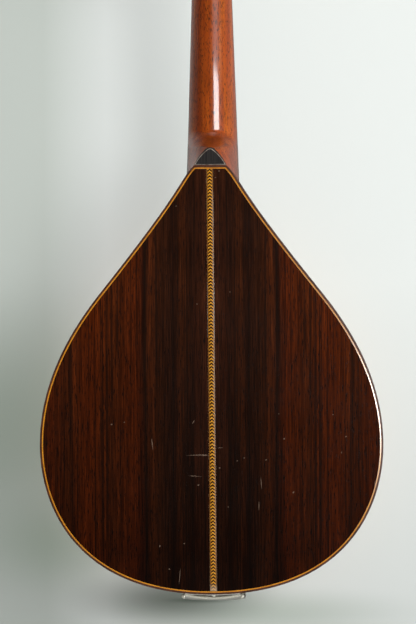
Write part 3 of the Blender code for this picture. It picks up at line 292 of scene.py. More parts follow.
def bass_edge(inset, height):
    """The bass edge of the body from the tail up to a height, moved inwards by inset."""
    tail, widest = Vector((0, 0)), Vector((0.125, 0.109))
    shoulder, corner = Vector((0.0805, 0.2196)), Vector((0.012, BODY_LENGTH))
    slope, last_slope = Vector((-0.80, 1)).normalized(), Vector((-0.94, 1)).normalized()
    stretches = (
        (tail, Vector((0.0963, 0)), widest - Vector((0, 0.0476)), widest, 56),
        (widest, widest + Vector((0, 0.0345)), shoulder - 0.0509 * slope, shoulder, 28),
        (shoulder, shoulder + 0.1022 * slope, corner - 0.0165 * last_slope, corner, 16),
    )
    edge = [tail]
    for start, leave, arrive, end, spans in stretches:
        edge += [point.to_2d() for point in interpolate_bezier(start, leave, arrive, end, spans + 1)[1:]]
    edge.append(corner + last_slope * corner.x)
    moved = []
    for i, point in enumerate(edge):
        before = edge[i - 1] if i else Vector((-edge[1].x, edge[1].y))
        way = (edge[min(i + 1, len(edge) - 1)] - before).normalized()
        moved.append(point + inset * Vector((-way.y, way.x)))
    last = max(i for i, point in enumerate(moved[:-1]) if point.y <= height)
    share = (height - moved[last].y) / (moved[last + 1].y - moved[last].y)
    return moved[: last + 1] + [moved[last].lerp(moved[last + 1], share)]


def joint_place(height):
    """How far the joint between the plates lies from the centre line at a height above the tail."""
    return JOINT_AT_TAIL - JOINT_LEAN * height


def cut_out(outlines, back, front):
    """Closed outlines in X and height, filled and given a thickness between two depths."""
    curve = bpy.data.curves.new("drawing", "CURVE")
    curve.dimensions = "2D"
    curve.fill_mode = "BOTH"
    curve.extrude = (front - back) / 2
    for outline in outlines:
        spline = curve.splines.new("POLY")
        spline.points.add(len(outline) - 1)
        for point, place in zip(spline.points, outline):
            point.co = (place[0], place[1], 0, 1)
        spline.use_cyclic_u = True
    drawing = add_object("drawing", curve)
    bpy.context.view_layer.update()
    form = bmesh.new()
    form.from_mesh(drawing.evaluated_get(bpy.context.evaluated_depsgraph_get()).to_mesh())
    bpy.data.objects.remove(drawing)
    bmesh.ops.remove_doubles(form, verts=form.verts, dist=0.00001)
    bmesh.ops.rotate(form, verts=form.verts, matrix=Matrix.Rotation(math.radians(90), 3, "X"))
    bmesh.ops.translate(form, verts=form.verts, vec=(0, (front + back) / 2, 0))
    bmesh.ops.recalc_face_normals(form, faces=form.faces)
    return form


def new_piece(name, form, finishes, place=Matrix.Identity(4), crease=35):
    """Turns a form into a finished object whose place is in its mesh."""
    bmesh.ops.transform(form, matrix=place, verts=form.verts)
    bmesh.ops.recalc_face_normals(form, faces=form.faces)
    mesh = bpy.data.meshes.new(name)
    form.to_mesh(mesh)
    form.free()
    mesh.shade_smooth()
    mesh.set_sharp_from_angle(angle=math.radians(crease))
    for finish in finishes:
        mesh.materials.append(finish)
    return add_object(name, mesh)


def noise(tree, place, scale, detail=3.0, roughness=0.55, distortion=0.0):
    """A soft random figure. Three scales stretch it along a wood's grain."""
    if isinstance(scale, tuple):
        place = add_node(tree, "Mapping", {"Vector": place, "Scale": scale}).outputs["Vector"]
        scale = 1.0
    inputs = {
        "Vector": place, "Scale": scale, "Detail": detail, "Roughness": roughness, "Distortion": distortion,
    }
    return add_node(tree, "TexNoise", inputs).outputs["Fac"]


def raise_grain(tree, shader, height, distance, strength=0.3):
    """Gives a surface a fine relief."""
    bump = add_node(tree, "Bump", {"Height": height, "Distance": distance, "Strength": strength})
    fill_inputs(tree, shader, {"Normal": bump.outputs["Normal"]})


def rosewood_colours(tree, place, fold):
    """Streaked rosewood along Z, in zones that run across X; fold mirrors it about the middle."""
    parts = add_node(tree, "SeparateXYZ", {"Vector": place}).outputs
    across = reckon(tree, "ABSOLUTE", parts["X"]) if fold else parts["X"]
    folded = add_node(tree, "CombineXYZ", {"X": across, "Y": parts["Y"], "Z": parts["Z"]}).outputs["Vector"]
    wander = reckon(tree, "SUBTRACT", noise(tree, folded, (9, 9, 3.5), 2.0), 0.5)
    zone = spread(tree, reckon(tree, "MULTIPLY_ADD", wander, 0.016, across), 0.0, 0.13)
    brown, red, black = (0.060, 0.0104, 0.0014), (0.076, 0.0128, 0.0014), (0.0120, 0.0040, 0.0020)
    zones = (
        (0.00, (0.026, 0.0080, 0.0035)), (0.07, (0.024, 0.0070, 0.0030)), (0.10, black),
        (0.15, (0.032, 0.0085, 0.0025)), (0.20, black), (0.26, (0.024, 0.0070, 0.0025)),
        (0.33, (0.042, 0.0100, 0.0025)), (0.36, black), (0.42, brown), (0.55, (0.046, 0.0100, 0.0020)),
        (0.68, red), (0.80, (0.040, 0.0090, 0.0020)), (0.90, brown), (1.00, (0.030, 0.0070, 0.0018)),
    )
    streaks = noise(tree, folded, (420, 420, 5), 4.0, 0.6)
    colours = shade(tree, add_ramp(tree, zone, zones), streaks, ((0.30, 0.52), (0.50, 1.0), (0.72, 1.55)))
    threads = noise(tree, folded, (1400, 1400, 34), 3.0, 0.6)
    colours = shade(tree, colours, threads, ((0.34, 0.45), (0.50, 0.97), (0.68, 1.65)))
    hairs = add_ramp(tree, noise(tree, folded, (760, 760, 3.2), 2.0, 0.5), ((0.57, 0.0), (0.64, 0.7)))
    colours = blend(tree, hairs, colours, (0.008, 0.0035, 0.002, 1))
    pores = add_ramp(tree, noise(tree, folded, (1900, 1900, 150), 2.0, 0.5), ((0.58, 0.0), (0.65, 1.0)))
    return blend(tree, pores, colours, (0.007, 0.003, 0.002, 1)), pores


# Dings and scratches on the back: X, height above the tail, length, width and lean in degrees.
BACK_MARKS = (
    (-0.0725, 0.1240, 0.0020, 0.0012, 20), (-0.0632, 0.1255, 0.0012, 0.0010, 0),
    (-0.0096, 0.0797, 0.0020, 0.0012, 40), (-0.0200, 0.0372, 0.0016, 0.0010, 10),
    (-0.0378, 0.0353, 0.0020, 0.0011, 70), (-0.0309, 0.0186, 0.0018, 0.0010, 0),
    (0.0530, 0.1131, 0.0016, 0.0014, 0), (0.0398, 0.0979, 0.0018, 0.0010, 30),
    (0.0188, 0.0972, 0.0014, 0.0009, 0), (0.0596, 0.0742, 0.0022, 0.0014, 60),
    (0.0122, 0.0637, 0.0012, 0.0009, 0), (0.0239, 0.0993, 0.0013, 0.0010, 0),
    (0.0059, 0.0921, 0.0016, 0.0012, 15), (0.0946, 0.1030, 0.0020, 0.0010, 80),
    (0.0885, 0.1306, 0.0012, 0.0010, 0), (0.0979, 0.1146, 0.0018, 0.0010, 45),
    (0.0492, 0.1313, 0.0014, 0.0010, 0), (-0.0248, 0.2826, 0.0014, 0.0010, 0),
    (0.0065, 0.3080, 0.0016, 0.0013, 0), (0.0038, 0.3032, 0.0016, 0.0011, 30),
    (0.0140, 0.2200, 0.0012, 0.0009, 0), (-0.0100, 0.2113, 0.0012, 0.0009, 0),
    (-0.0105, 0.1015, 0.0200, 0.0007, 2), (-0.0050, 0.1013, 0.0080, 0.0009, 2),
    (-0.0118, 0.0862, 0.0125, 0.0006, -4), (-0.0430, 0.1095, 0.0009, 0.0120, 6),
    (-0.0234, 0.0135, 0.0006, 0.0150, -5), (0.0362, 0.0810, 0.0006, 0.0115, 3),
    (0.0344, 0.0645, 0.0007, 0.0085, 0), (-0.0130, 0.1255, 0.0006, 0.0046, -32),
    (0.0066, 0.1067, 0.0055, 0.0005, 2), (0.1190, 0.0790, 0.0010, 0.0090, 12),
)
back_rosewood, tree, shader, place = new_finish("back_rosewood")
colours, pores = rosewood_colours(tree, place, fold=True)
# Painted light: the back is painted darker towards the tail and a little brighter near the neck, where the
# light falls off down the back.
height = add_node(tree, "SeparateXYZ", {"Vector": place}).outputs["Z"]
painted_falloff_to_tail = ((0, (0.40, 0.35, 0.30)), (0.5, (0.76, 0.68, 0.60)), (1, (1.20, 1.08, 0.95)))
colours = shade(tree, colours, spread(tree, height, TAIL + 0.03, TAIL + 0.22), painted_falloff_to_tail)
marked = 0.0
for x, height, length, width, lean in BACK_MARKS:
    reach = reach_from(tree, place, (x, TAIL + height), (length / 2, width / 2), math.radians(-lean))
    marked = reckon(tree, "MAXIMUM", marked, spread(tree, reach, 1.0, 0.35))
worn = reckon(tree, "MULTIPLY", marked, noise(tree, place, 900, 2.0))
worn = spread(tree, worn, 0.12, 0.50, 0.0, 0.55)
cloudy = noise(tree, place, 22, 3.0)
dullness = add_ramp(tree, cloudy, ((0.3, 0.18), (0.7, 0.23)))
fill_inputs(tree, shader, {
    "Base Color": blend(tree, worn, colours, (0.30, 0.20, 0.14, 1)),
    "Roughness": blend(tree, worn, dullness, (0.7, 0.7, 0.7, 1)),
    "Specular IOR Level": 0.14,
})
relief = reckon(tree, "SUBTRACT", 1.0, blend(tree, 0.5, pores, cloudy))
raise_grain(tree, shader, relief, 0.00004)

for side, hand in HANDS:
    margin = STRIP_WIDTH / 2 + GAP / 2
    top = BODY_LENGTH - BACK_EDGE + GAP / 2
    edge = bass_edge(BACK_EDGE - GAP / 2, top)
    edge = [(side * point.x, point.y) for point in edge if point.x > margin + side * joint_place(point.y)]
    joint = [(side * margin + joint_place(height), height) for height in (edge[0][1], top)]
    form = cut_out([[joint[0], *edge, joint[1]]], 0, BACK_THICKNESS)
    plate = new_piece("back_plate_" + hand, form, [back_rosewood], IN_BODY)
    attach(plate, "instrument")
    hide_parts("back_" + hand)


# The strip inlaid between the plates: yellow and black chevrons that point to the neck, between two
# light brown lines, sawn from a glued block, let in flush and worn pale at the tail.
def add_block(form, middle, sizes, turn=Matrix.Identity(4)):
    """Adds a block."""
    place = Matrix.Translation(middle) @ turn @ Matrix.Diagonal((*sizes, 1))
    bmesh.ops.create_cube(form, size=1.0, matrix=place)


def sharp_edges(form, wanted=lambda place: True):
    """A form's sharp edges with both ends at wanted places."""
    return [
        edge for edge in form.edges
        if edge.calc_face_angle(0) > 1 and all(wanted(vert.co) for vert in edge.verts)
    ]


def soften(form, edges, width, segments=2):
    """Rounds some of a form's edges."""
    bmesh.ops.bevel(
        form, geom=edges, offset=width, offset_type="OFFSET", segments=segments, profile=0.5,
        affect="EDGES", material=-1, clamp_overlap=True,
    )


CHEVRON_PITCH = 0.00239
CHEVRON_SLOPE = 0.85
CHEVRON_SHADES = (
    (0.0, (0.012, 0.004, 0.002)), (0.46, (0.018, 0.005, 0.002)), (0.55, (0.58, 0.250, 0.016)),
    (0.90, (0.70, 0.31, 0.022)), (1.0, (0.020, 0.006, 0.003)),
)
strip_wood, tree, shader, place = new_finish("chevron_strip")
parts = add_node(tree, "SeparateXYZ", {"Vector": place}).outputs
across = reckon(tree, "MULTIPLY_ADD", parts["Z"], JOINT_LEAN, parts["X"])
across = reckon(tree, "SUBTRACT", across, JOINT_LEAN * TAIL + JOINT_AT_TAIL)
across = reckon(tree, "ABSOLUTE", across)
climb = reckon(tree, "MULTIPLY_ADD", across, CHEVRON_SLOPE, parts["Z"])
step = reckon(tree, "FRACT", reckon(tree, "MULTIPLY", climb, 1 / CHEVRON_PITCH))
colours = add_ramp(tree, step, CHEVRON_SHADES)
colours = blend(tree, spread(tree, across, 0.00145, 0.00165), colours, (0.27, 0.105, 0.014, 1))
colours = blend(tree, spread(tree, across, 0.00205, 0.00225), colours, (0.035, 0.012, 0.004, 1))
uneven = noise(tree, place, 700, 3.0)
colours = shade(tree, colours, uneven, ((0.25, 0.55), (0.75, 1.35)), 0.55)
faded = spread(tree, parts["Z"], TAIL + 0.008, TAIL + 0.002, 0.0, 0.5)
fill_inputs(tree, shader, {
    "Base Color": blend(tree, faded, colours, (0.62, 0.52, 0.42, 1)),
    "Roughness": add_ramp(tree, uneven, ((0.3, 0.22), (0.7, 0.30))),
    "Specular IOR Level": 0.25,
})
raise_grain(tree, shader, step, 0.00004, 0.4)

form = bmesh.new()
add_block(
    form, (0, BACK_THICKNESS / 2 - 0.00003, BODY_LENGTH / 2 + 0.0001),
    (STRIP_WIDTH, BACK_THICKNESS, BODY_LENGTH - 2 * BACK_EDGE),
)
long_edges = [edge for edge in form.edges if edge.calc_length() > 0.1]
bmesh.ops.subdivide_edges(form, edges=long_edges, cuts=12)
soften(form, sharp_edges(form), 0.00006)
for vert in form.verts:
    vert.co.x += joint_place(vert.co.z)
strip = new_piece("chevron_inlay", form, [strip_wood], IN_BODY)
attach(strip, "instrument")
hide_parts("back_strip")


# The line of yellow dyed wood all round the back, bent on edge and let in flush with the plates. Its
# worn outer edge catches the lamp on the bass side.
def both_sides(edge):
    """A line on the bass side with its mirror image on the treble side."""
    return edge + [Vector((-point.x, point.y)) for point in reversed(edge) if point.x > 1e-6]


def body_outline(inset):
    """The whole edge of the body, moved inwards by inset and closed across the neck."""
    return both_sides(bass_edge(inset, BODY_LENGTH - inset))


LINE_OUTER = 0.00148
LINE_TILT = 0.24
yellow_line, tree, shader, place = new_finish("yellow_line")
fine = noise(tree, place, 900, 2.0)
dyes = ((0.30, (0.50, 0.172, 0.008)), (0.55, (0.65, 0.245, 0.012)), (0.80, (0.78, 0.33, 0.024)))
colours = add_ramp(tree, noise(tree, place, 60, 3.0), dyes)
outwards = vectors(tree, "SUBTRACT", place, (0, 0, TAIL + 0.12))
outwards = vectors(tree, "NORMALIZE", vectors(tree, "MULTIPLY", outwards, (1, 0, 1)))
flat = add_node(tree, "NewGeometry", {}).outputs["Normal"]
rounded = vectors(tree, "MULTIPLY_ADD", outwards, (LINE_TILT, 0, LINE_TILT), flat)
parts = add_node(tree, "SeparateXYZ", {"Vector": place}).outputs
sideways = spread(tree, parts["X"], 0.02, 0.07)
upwards = spread(tree, parts["Z"], TAIL + 0.030, TAIL + 0.095)
polished = reckon(tree, "MULTIPLY", sideways, upwards)
fill_inputs(tree, shader, {
    "Base Color": shade(tree, colours, fine, ((0.3, 0.6), (0.7, 1.3)), 0.35),
    "Roughness": add_ramp(tree, fine, ((0.3, 0.22), (0.7, 0.30))),
    "Specular IOR Level": 0.3,
    "Coat Normal": vectors(tree, "NORMALIZE", rounded),
    "Coat Weight": add_ramp(tree, polished, ((0, 0.10), (1, 1.0))),
    "Coat Roughness": 0.27,
    "Coat IOR": 2.4,
})
raise_grain(tree, shader, fine, 0.00003, 0.4)
form = cut_out([body_outline(LINE_OUTER), body_outline(BACK_EDGE - GAP)], -0.00004, BACK_THICKNESS)
purfling = new_piece("back_line", form, [yellow_line], IN_BODY)
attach(purfling, "instrument")
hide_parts("back_purfling")


# The back's binding: a thin dark strip of rosewood glued outside the yellow line and rounded over,
# so that the edge catches a thin line of light.
def outer_rim(form, depth_way):
    """The outer edges of a plate's back (-1) or front (1) face."""
    rim = []
    for edge in form.edges:
        if len(edge.link_faces) != 2:
            continue
        face, wall = sorted(edge.link_faces, key=lambda face: -abs(face.normal.y))
        middle = (edge.verts[0].co + edge.verts[1].co) / 2 - Vector((0, 0, 0.12))
        middle.y = 0
        if face.normal.y * depth_way > 0.7 and abs(wall.normal.y) < 0.3 and wall.normal.dot(middle) > 0:
            rim.append(edge)
    return rim


edge_rosewood, tree, shader, place = new_finish("edge_rosewood")
patches = noise(tree, place, 90, 4.0)
browns = ((0.30, (0.034, 0.011, 0.005)), (0.60, (0.085, 0.026, 0.010)), (0.85, (0.17, 0.058, 0.020)))
fill_inputs(tree, shader, {
    "Base Color": add_ramp(tree, patches, browns),
    "Roughness": add_ramp(tree, patches, ((0.3, 0.22), (0.7, 0.32))),
    "Specular IOR Level": 0.25,
    "Coat Weight": 0.4,
    "Coat Roughness": 0.35,
})
raise_grain(tree, shader, noise(tree, place, 1200, 2.0), 0.00002)
form = cut_out([body_outline(0), body_outline(LINE_OUTER)], 0, BACK_THICKNESS + GAP / 2)
soften(form, outer_rim(form, -1), 0.0009, 4)
binding = new_piece("back_edge", form, [edge_rosewood], IN_BODY, crease=50)
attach(binding, "instrument")
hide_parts("back_binding")

# The sides: two strips of rosewood bent over a hot iron, 2 mm thick, with the grain running round the
# body. They meet at the tail and end at the neck, and their front edge follows the bent soundboard.
SIDE_THICKNESS = 0.0020
SIDE_DEPTH = 0.060
TOP_THICKNESS = 0.0026
BEND_HEIGHT = 0.112
BEND_DEPTH = 0.064
TOP_LEAN = math.atan2(0.012, 0.200)
TAIL_LEAN = math.atan2(0.009, 0.112)


def top_depth(height):
    """Depth of the soundboard's face at a height, below or above its bend."""
    if height < BEND_HEIGHT:
        return BEND_DEPTH - (BEND_HEIGHT - height) * math.tan(TAIL_LEAN)
    return BEND_DEPTH - (height - BEND_HEIGHT) * math.tan(TOP_LEAN)


side_rosewood, tree, shader, place = new_finish("side_rosewood")
run_and_depth = add_node(tree, "UVMap", {}, uv_map="UVMap").outputs["UV"]
parts = add_node(tree, "SeparateXYZ", {"Vector": run_and_depth}).outputs
laid = add_node(tree, "CombineXYZ", {"X": parts["Y"], "Z": parts["X"]}).outputs["Vector"]
colours, pores = rosewood_colours(tree, laid, fold=False)
dullness = add_ramp(tree, noise(tree, laid, 25, 3.0), ((0.3, 0.24), (0.7, 0.38)))
fill_inputs(tree, shader, {"Base Color": colours, "Roughness": dullness})
raise_grain(tree, shader, reckon(tree, "SUBTRACT", 1.0, pores), 0.0001)

edge = bass_edge(0, BODY_LENGTH)
edge = [Vector((GAP / 4, edge[0].y))] + [point for point in edge[1:] if point.x > 0.001]
travel = [0.0]
for first, second in zip(edge, edge[1:]):
    travel.append(travel[-1] + (second - first).length)
for side, hand in HANDS:
    form = bmesh.new()
    bmesh.ops.create_grid(form, x_segments=len(edge) - 1, y_segments=8, size=1.0, calc_uvs=True)
    uv = form.loops.layers.uv.new("UVMap")
    for face in form.faces:
        for loop in face.loops:
            column = round((loop.vert.co.x + 1) / 2 * (len(edge) - 1))
            loop[uv].uv = (travel[column], (loop.vert.co.y + 1) / 2 * SIDE_DEPTH)
    for vert in form.verts:
        point = edge[round((vert.co.x + 1) / 2 * (len(edge) - 1))]
        low, high = BACK_THICKNESS + GAP / 2, top_depth(point.y) - TOP_THICKNESS - GAP / 2
        vert.co = (side * point.x, low + (vert.co.y + 1) / 2 * (high - low), point.y)
    wall = new_piece("bent_side_" + hand, form, [side_rosewood], IN_BODY)
    bent = wall.modifiers.new("thickness", "SOLIDIFY")
    bent.thickness = SIDE_THICKNESS
    bent.offset = -1
    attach(wall, "instrument")
    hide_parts("side_" + hand)

# The soundboard: straight-grained spruce, 2.6 mm thick, bent over a hot pipe below the bridge. The grain
# runs with the strings, and old varnish has turned it the colour of honey.
SOUNDHOLE_HALF_WIDTH = 0.031
SOUNDHOLE_HALF_HEIGHT = 0.021
SOUNDHOLE_DISTANCE = 0.105
TOP_BINDING_WIDTH = 0.0018
INLAY_DEPTH = 0.0004
DEPTH_AT_NECK = 0.052
NECK_JOINT = (0, BACK + DEPTH_AT_NECK, TAIL + BODY_LENGTH)
IN_NECK = Matrix.Translation(NECK_JOINT) @ Matrix.Rotation(TOP_LEAN, 4, "X")


def oval(half_width, half_height, steps=64, middle=(0, -SOUNDHOLE_DISTANCE)):
    """A closed oval, round the soundhole's centre if no other is given."""
    points = []
    for i in range(steps):
        turn = 2 * math.pi * i / steps
        points.append((middle[0] + half_width * math.cos(turn), middle[1] + half_height * math.sin(turn)))
    return points


def slice_form(form, point, way, **keep):
    """Cuts all of a form at a plane."""
    everything = list(form.verts) + list(form.edges) + list(form.faces)
    return bmesh.ops.bisect_plane(form, geom=everything, plane_co=point, plane_no=way, dist=1e-7, **keep)


def follow_top(form):
    """Moves a form drawn at depth zero to the soundboard's face, with the bend in it."""
    slice_form(form, (0, 0, BEND_HEIGHT), (0, 0, 1))
    for vert in form.verts:
        vert.co.y += top_depth(vert.co.z)


def combine(piece, other, operation):
    """Applies a Boolean with another object, and removes that object."""
    modifier = piece.modifiers.new("carve", "BOOLEAN")
    modifier.operation = operation
    modifier.object = other
    bpy.context.view_layer.update()
    graph = bpy.context.evaluated_depsgraph_get()
    mesh = bpy.data.meshes.new_from_object(piece.evaluated_get(graph))
    piece.modifiers.clear()
    old, piece.data = piece.data, mesh
    bpy.data.meshes.remove(old)
    mesh.name = piece.name
    bpy.data.objects.remove(other)


varnished_spruce, tree, shader, place = new_finish("varnished_spruce")
grain = {"Vector": place, "Scale": 210.0, "Distortion": 1.4, "Detail": 2.0, "Detail Scale": 0.06}
lines = add_node(tree, "TexWave", grain, bands_direction="X", wave_profile="SAW").outputs["Fac"]
fibres = noise(tree, place, (1400, 1400, 22), 3.0)
broad = noise(tree, place, (30, 30, 4), 2.0)
honey = ((0.0, (0.60, 0.33, 0.125)), (0.75, (0.50, 0.25, 0.085)), (0.95, (0.36, 0.155, 0.045)))
colours = shade(tree, add_ramp(tree, lines, honey), fibres, ((0.3, 0.7), (0.7, 1.15)), 0.45)
fill_inputs(tree, shader, {
    "Base Color": shade(tree, colours, broad, ((0.3, 0.8), (0.7, 1.1)), 0.6),
    "Roughness": add_ramp(tree, broad, ((0.3, 0.26), (0.7, 0.38))),
})
raise_grain(tree, shader, lines, 0.00004)
form = cut_out([body_outline(TOP_BINDING_WIDTH + GAP / 2)], -TOP_THICKNESS, 0)
follow_top(form)
board = new_piece("spruce_top", form, [varnished_spruce], IN_BODY)
form = cut_out([oval(SOUNDHOLE_HALF_WIDTH, SOUNDHOLE_HALF_HEIGHT)], -0.01, 0.01)
combine(board, new_piece("hole_cutter", form, [], IN_NECK), "DIFFERENCE")
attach(board, "instrument")
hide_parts("soundboard")


# Round the soundhole: the dark edge of the hole itself, and a ring of dark wood between two pale lines.
# All are bent from thin strips of wood, let into the top and scraped flush.
def mottled(name, scale, detail, shades, dullness, depth, strength=0.3, figure=(0.55, 0.0), **others):
    """A finish whose colour, dullness and relief all follow one random figure."""
    finish, tree, shader, place = new_finish(name)
    patches = noise(tree, place, scale, detail, *figure)
    surface = {"Base Color": add_ramp(tree, patches, shades), "Roughness": add_ramp(tree, patches, dullness)}
    surface.update({socket.replace("_", " "): value for socket, value in others.items()})
    fill_inputs(tree, shader, surface)
    raise_grain(tree, shader, patches, depth, strength)
    return finish


def line_wood(name, dark, light):
    """Dyed wood for thin lines, mottled between two shades."""
    return mottled(name, 400, 3.0, ((0.3, dark), (0.7, light)), ((0.3, 0.28), (0.7, 0.40)), 0.00003)


ring_black = line_wood("ring_black", (0.014, 0.010, 0.008), (0.035, 0.024, 0.018))
ring_white = line_wood("ring_white", (0.50, 0.38, 0.22), (0.68, 0.55, 0.36))
for name, wood, inner, outer in (
    ("soundhole_edge", ring_black, 0.0000, 0.0014),
    ("soundhole_ring_inner", ring_white, 0.0030, 0.0037),
    ("soundhole_ring_middle", ring_black, 0.0037, 0.0057),
    ("soundhole_ring_outer", ring_white, 0.0057, 0.0064),
):
    rims = [oval(SOUNDHOLE_HALF_WIDTH + reach, SOUNDHOLE_HALF_HEIGHT + reach) for reach in (inner, outer)]
    ring = new_piece(name, cut_out(rims, -INLAY_DEPTH, 0.00006), [wood], IN_NECK)
    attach(ring, "instrument")

# The front edge: a rounded dark binding, bent and glued outside the top, with a white and a black line
# let in beside it.
form = cut_out([body_outline(0), body_outline(TOP_BINDING_WIDTH)], -TOP_THICKNESS - GAP / 2, 0)
soften(form, outer_rim(form, 1), 0.0012, 4)
follow_top(form)
top_edge = new_piece("top_edge", form, [edge_rosewood], IN_BODY, crease=50)
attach(top_edge, "instrument")
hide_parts("top_binding")
for name, wood, inset, width in (
    ("top_line_white", ring_white, 0.00195, 0.0008), ("top_line_black", ring_black, 0.00275, 0.0007),
):
    form = cut_out([body_outline(inset), body_outline(inset + width)], -INLAY_DEPTH, 0.00005)
    follow_top(form)
    line = new_piece(name, form, [wood], IN_BODY)
    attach(line, "instrument")

# The pickguard: a thin plate of tortoiseshell on the treble side, shaped round the soundhole and glued on
# top of the varnish, with its upper edge rounded.
PICKGUARD_THICKNESS = 0.0011
PICKGUARD_KNOTS = (
    (-0.006, -0.140), (-0.034, -0.136), (-0.0584, -0.106), (-0.0730, -0.127), (-0.0628, -0.1566),
    (-0.040, -0.1732), (-0.012, -0.1692), (-0.002, -0.1566),
)


def smooth_run(knots, steps):
    """Points along a smooth line through all knots but the first and last, which only guide its ends."""
    knots = [Vector((*knot, 0)[:3]) for knot in knots]
    points = [knots[1]]
    for before, start, end, after in zip(knots, knots[1:], knots[2:], knots[3:]):
        leave = start + (end - before) / 6
        arrive = end - (after - start) / 6
        points += interpolate_bezier(start, leave, arrive, end, steps + 1)[1:]
    return points


tortoiseshell, tree, shader, place = new_finish("tortoiseshell")
clouds = noise(tree, place, 85, 3.0, 0.6, 1.2)
flecks = noise(tree, place, 420, 2.0, 0.6, 0.8)
ambers = ((0.36, (0.012, 0.004, 0.003)), (0.50, (0.060, 0.014, 0.004)), (0.66, (0.32, 0.095, 0.018)))
fill_inputs(tree, shader, {
    "Base Color": shade(tree, add_ramp(tree, clouds, ambers), flecks, ((0.35, 0.5), (0.65, 1.3)), 0.4),
    "Roughness": add_ramp(tree, flecks, ((0.3, 0.12), (0.7, 0.24))),
})
raise_grain(tree, shader, clouds, 0.00005, 0.2)
closed = smooth_run([PICKGUARD_KNOTS[-1], *PICKGUARD_KNOTS, *PICKGUARD_KNOTS[:2]], 8)[:-1]
form = cut_out([[point.to_2d() for point in closed]], GAP / 2, PICKGUARD_THICKNESS)
soften(form, sharp_edges(form, lambda place: place.y > 0.001), 0.0003)
guard = new_piece("shell_guard", form, [tortoiseshell], IN_NECK)
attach(guard, "instrument")
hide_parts("pickguard")

# Inside the body: linings, blocks and braces of raw spruce, glued to the plates and the sides. They are
# seen through the soundhole only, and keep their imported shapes.
raw_spruce = mottled(
    "raw_spruce", (900, 60, 900), 3.0, ((0.25, (0.42, 0.27, 0.13)), (0.75, (0.64, 0.46, 0.27))),
    ((0.3, 0.70), (0.7, 0.86)), 0.00008, 0.4,
)
for name in (
    "lining_back", "lining_top", "neck_block", "tail_block", "top_brace_upper", "top_brace_lower",
    "back_brace_upper", "back_brace_lower",
):
    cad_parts[name].data.materials.clear()
    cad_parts[name].data.materials.append(raw_spruce)

# The neck: one piece of reddish wood with the head, carved to a rounded V that deepens into a sharp heel.
# Its cheeks run down beside the body. French polished, with open pores that hold dark filler.
STRING_LENGTH = 0.330
NUT_THICKNESS = 0.0040
NUT_DISTANCE = STRING_LENGTH * (1 - 2 ** (-10 / 12))
NECK_END = NUT_DISTANCE + GAP + NUT_THICKNESS + GAP
HALF_WIDTH_AT_BODY = 0.0190
HALF_WIDTH_AT_NUT = 0.01425
NECK_DEPTH = 0.0195
NUT_DEPTH = 0.0150
HEEL_LENGTH = 0.0285
HEEL_POINT = 0.0160
HEEL_RISE = 0.0316
HEEL_INSIDE = 0.0272
HEEL_CAP = 0.0015
HEAD_ANGLE = math.radians(13)
HEAD_THICKNESS = 0.014
VENEER = 0.0010
HEAD_SIDE = (
    (0.01385, -0.016), (0.01385, -0.008), (0.01385, 0.002), (0.0250, 0.015), (0.0258, 0.055),
    (0.0280, 0.114), (0.0250, 0.133), (0.0126, 0.140), (0, 0.148), (-0.0126, 0.140),
)
POST_SIDE = 0.0170
POST_BORE = 0.0033
POST_HEIGHTS = (0.030, 0.053, 0.076, 0.099)
HEAD_BEND = Matrix.Translation((0, 0, NECK_END)) @ Matrix.Rotation(HEAD_ANGLE, 4, "X")
IN_HEAD = IN_NECK @ HEAD_BEND


def neck_half_width(distance):
    """Half the neck's width at a distance from the body joint."""
    return HALF_WIDTH_AT_BODY - (HALF_WIDTH_AT_BODY - HALF_WIDTH_AT_NUT) * distance / NUT_DISTANCE


def heel_depth(distance):
    """How much deeper than the neck the heel is: steep to the point of its cap, and on inside the cap."""
    if distance > HEEL_POINT:
        return HEEL_RISE * (max(HEEL_LENGTH - distance, 0) / (HEEL_LENGTH - HEEL_POINT)) ** 2
    return HEEL_RISE + HEEL_INSIDE * min((HEEL_POINT - distance) / HEEL_POINT, 1) ** 1.35


def neck_skin():
    """The carved underside from inside the body to inside the head, closed by the fretboard's flat."""
    plain_length = NECK_END - HEEL_LENGTH
    distances = [-0.014] + [HEEL_LENGTH * i / 28 for i in range(29)]
    distances += [HEEL_LENGTH + 0.0002, HEEL_LENGTH + 0.0008]
    distances += [HEEL_LENGTH + plain_length * i / 8 for i in range(1, 9)]
    stations = []
    for distance in distances:
        depth = NECK_DEPTH - (NECK_DEPTH - NUT_DEPTH) * max((distance - HEEL_LENGTH) / plain_length, 0)
        sharpness = 1.10 + 0.20 * min(heel_depth(distance) / HEEL_RISE, 1)
        place = Matrix.Translation((0, 0, distance))
        stations.append((neck_half_width(distance), depth + heel_depth(distance), sharpness, place, 0.0))
    for distance, share in ((0.005, 0.98), (0.011, 0.90), (0.018, 0.80)):
        depth = NUT_DEPTH - 0.002 * distance / 0.018
        place = HEAD_BEND @ Matrix.Translation((0, 0, distance))
        stations.append((HALF_WIDTH_AT_NUT * share, depth, 1.10, place, 0.0005))
    form = bmesh.new()
    bmesh.ops.create_grid(form, x_segments=36, y_segments=len(stations) - 1, size=1.0)
    rims = [edge for edge in form.edges if all(abs(abs(vert.co.x) - 1) < 1e-4 for vert in edge.verts)]
    for vert in form.verts:
        station = round((vert.co.y + 1) / 2 * (len(stations) - 1))
        half_width, depth, sharpness, place, drop = stations[station]
        turn = math.pi * (vert.co.x + 1) / 2
        across = math.copysign(abs(math.cos(turn)) ** sharpness, math.cos(turn))
        vert.co = place @ Vector((half_width * across, -drop - (depth - drop) * math.sin(turn), 0))
    bmesh.ops.bridge_loops(form, edges=rims)
    bmesh.ops.holes_fill(form, edges=form.edges, sides=0)
    bmesh.ops.recalc_face_normals(form, faces=form.faces)
    return form


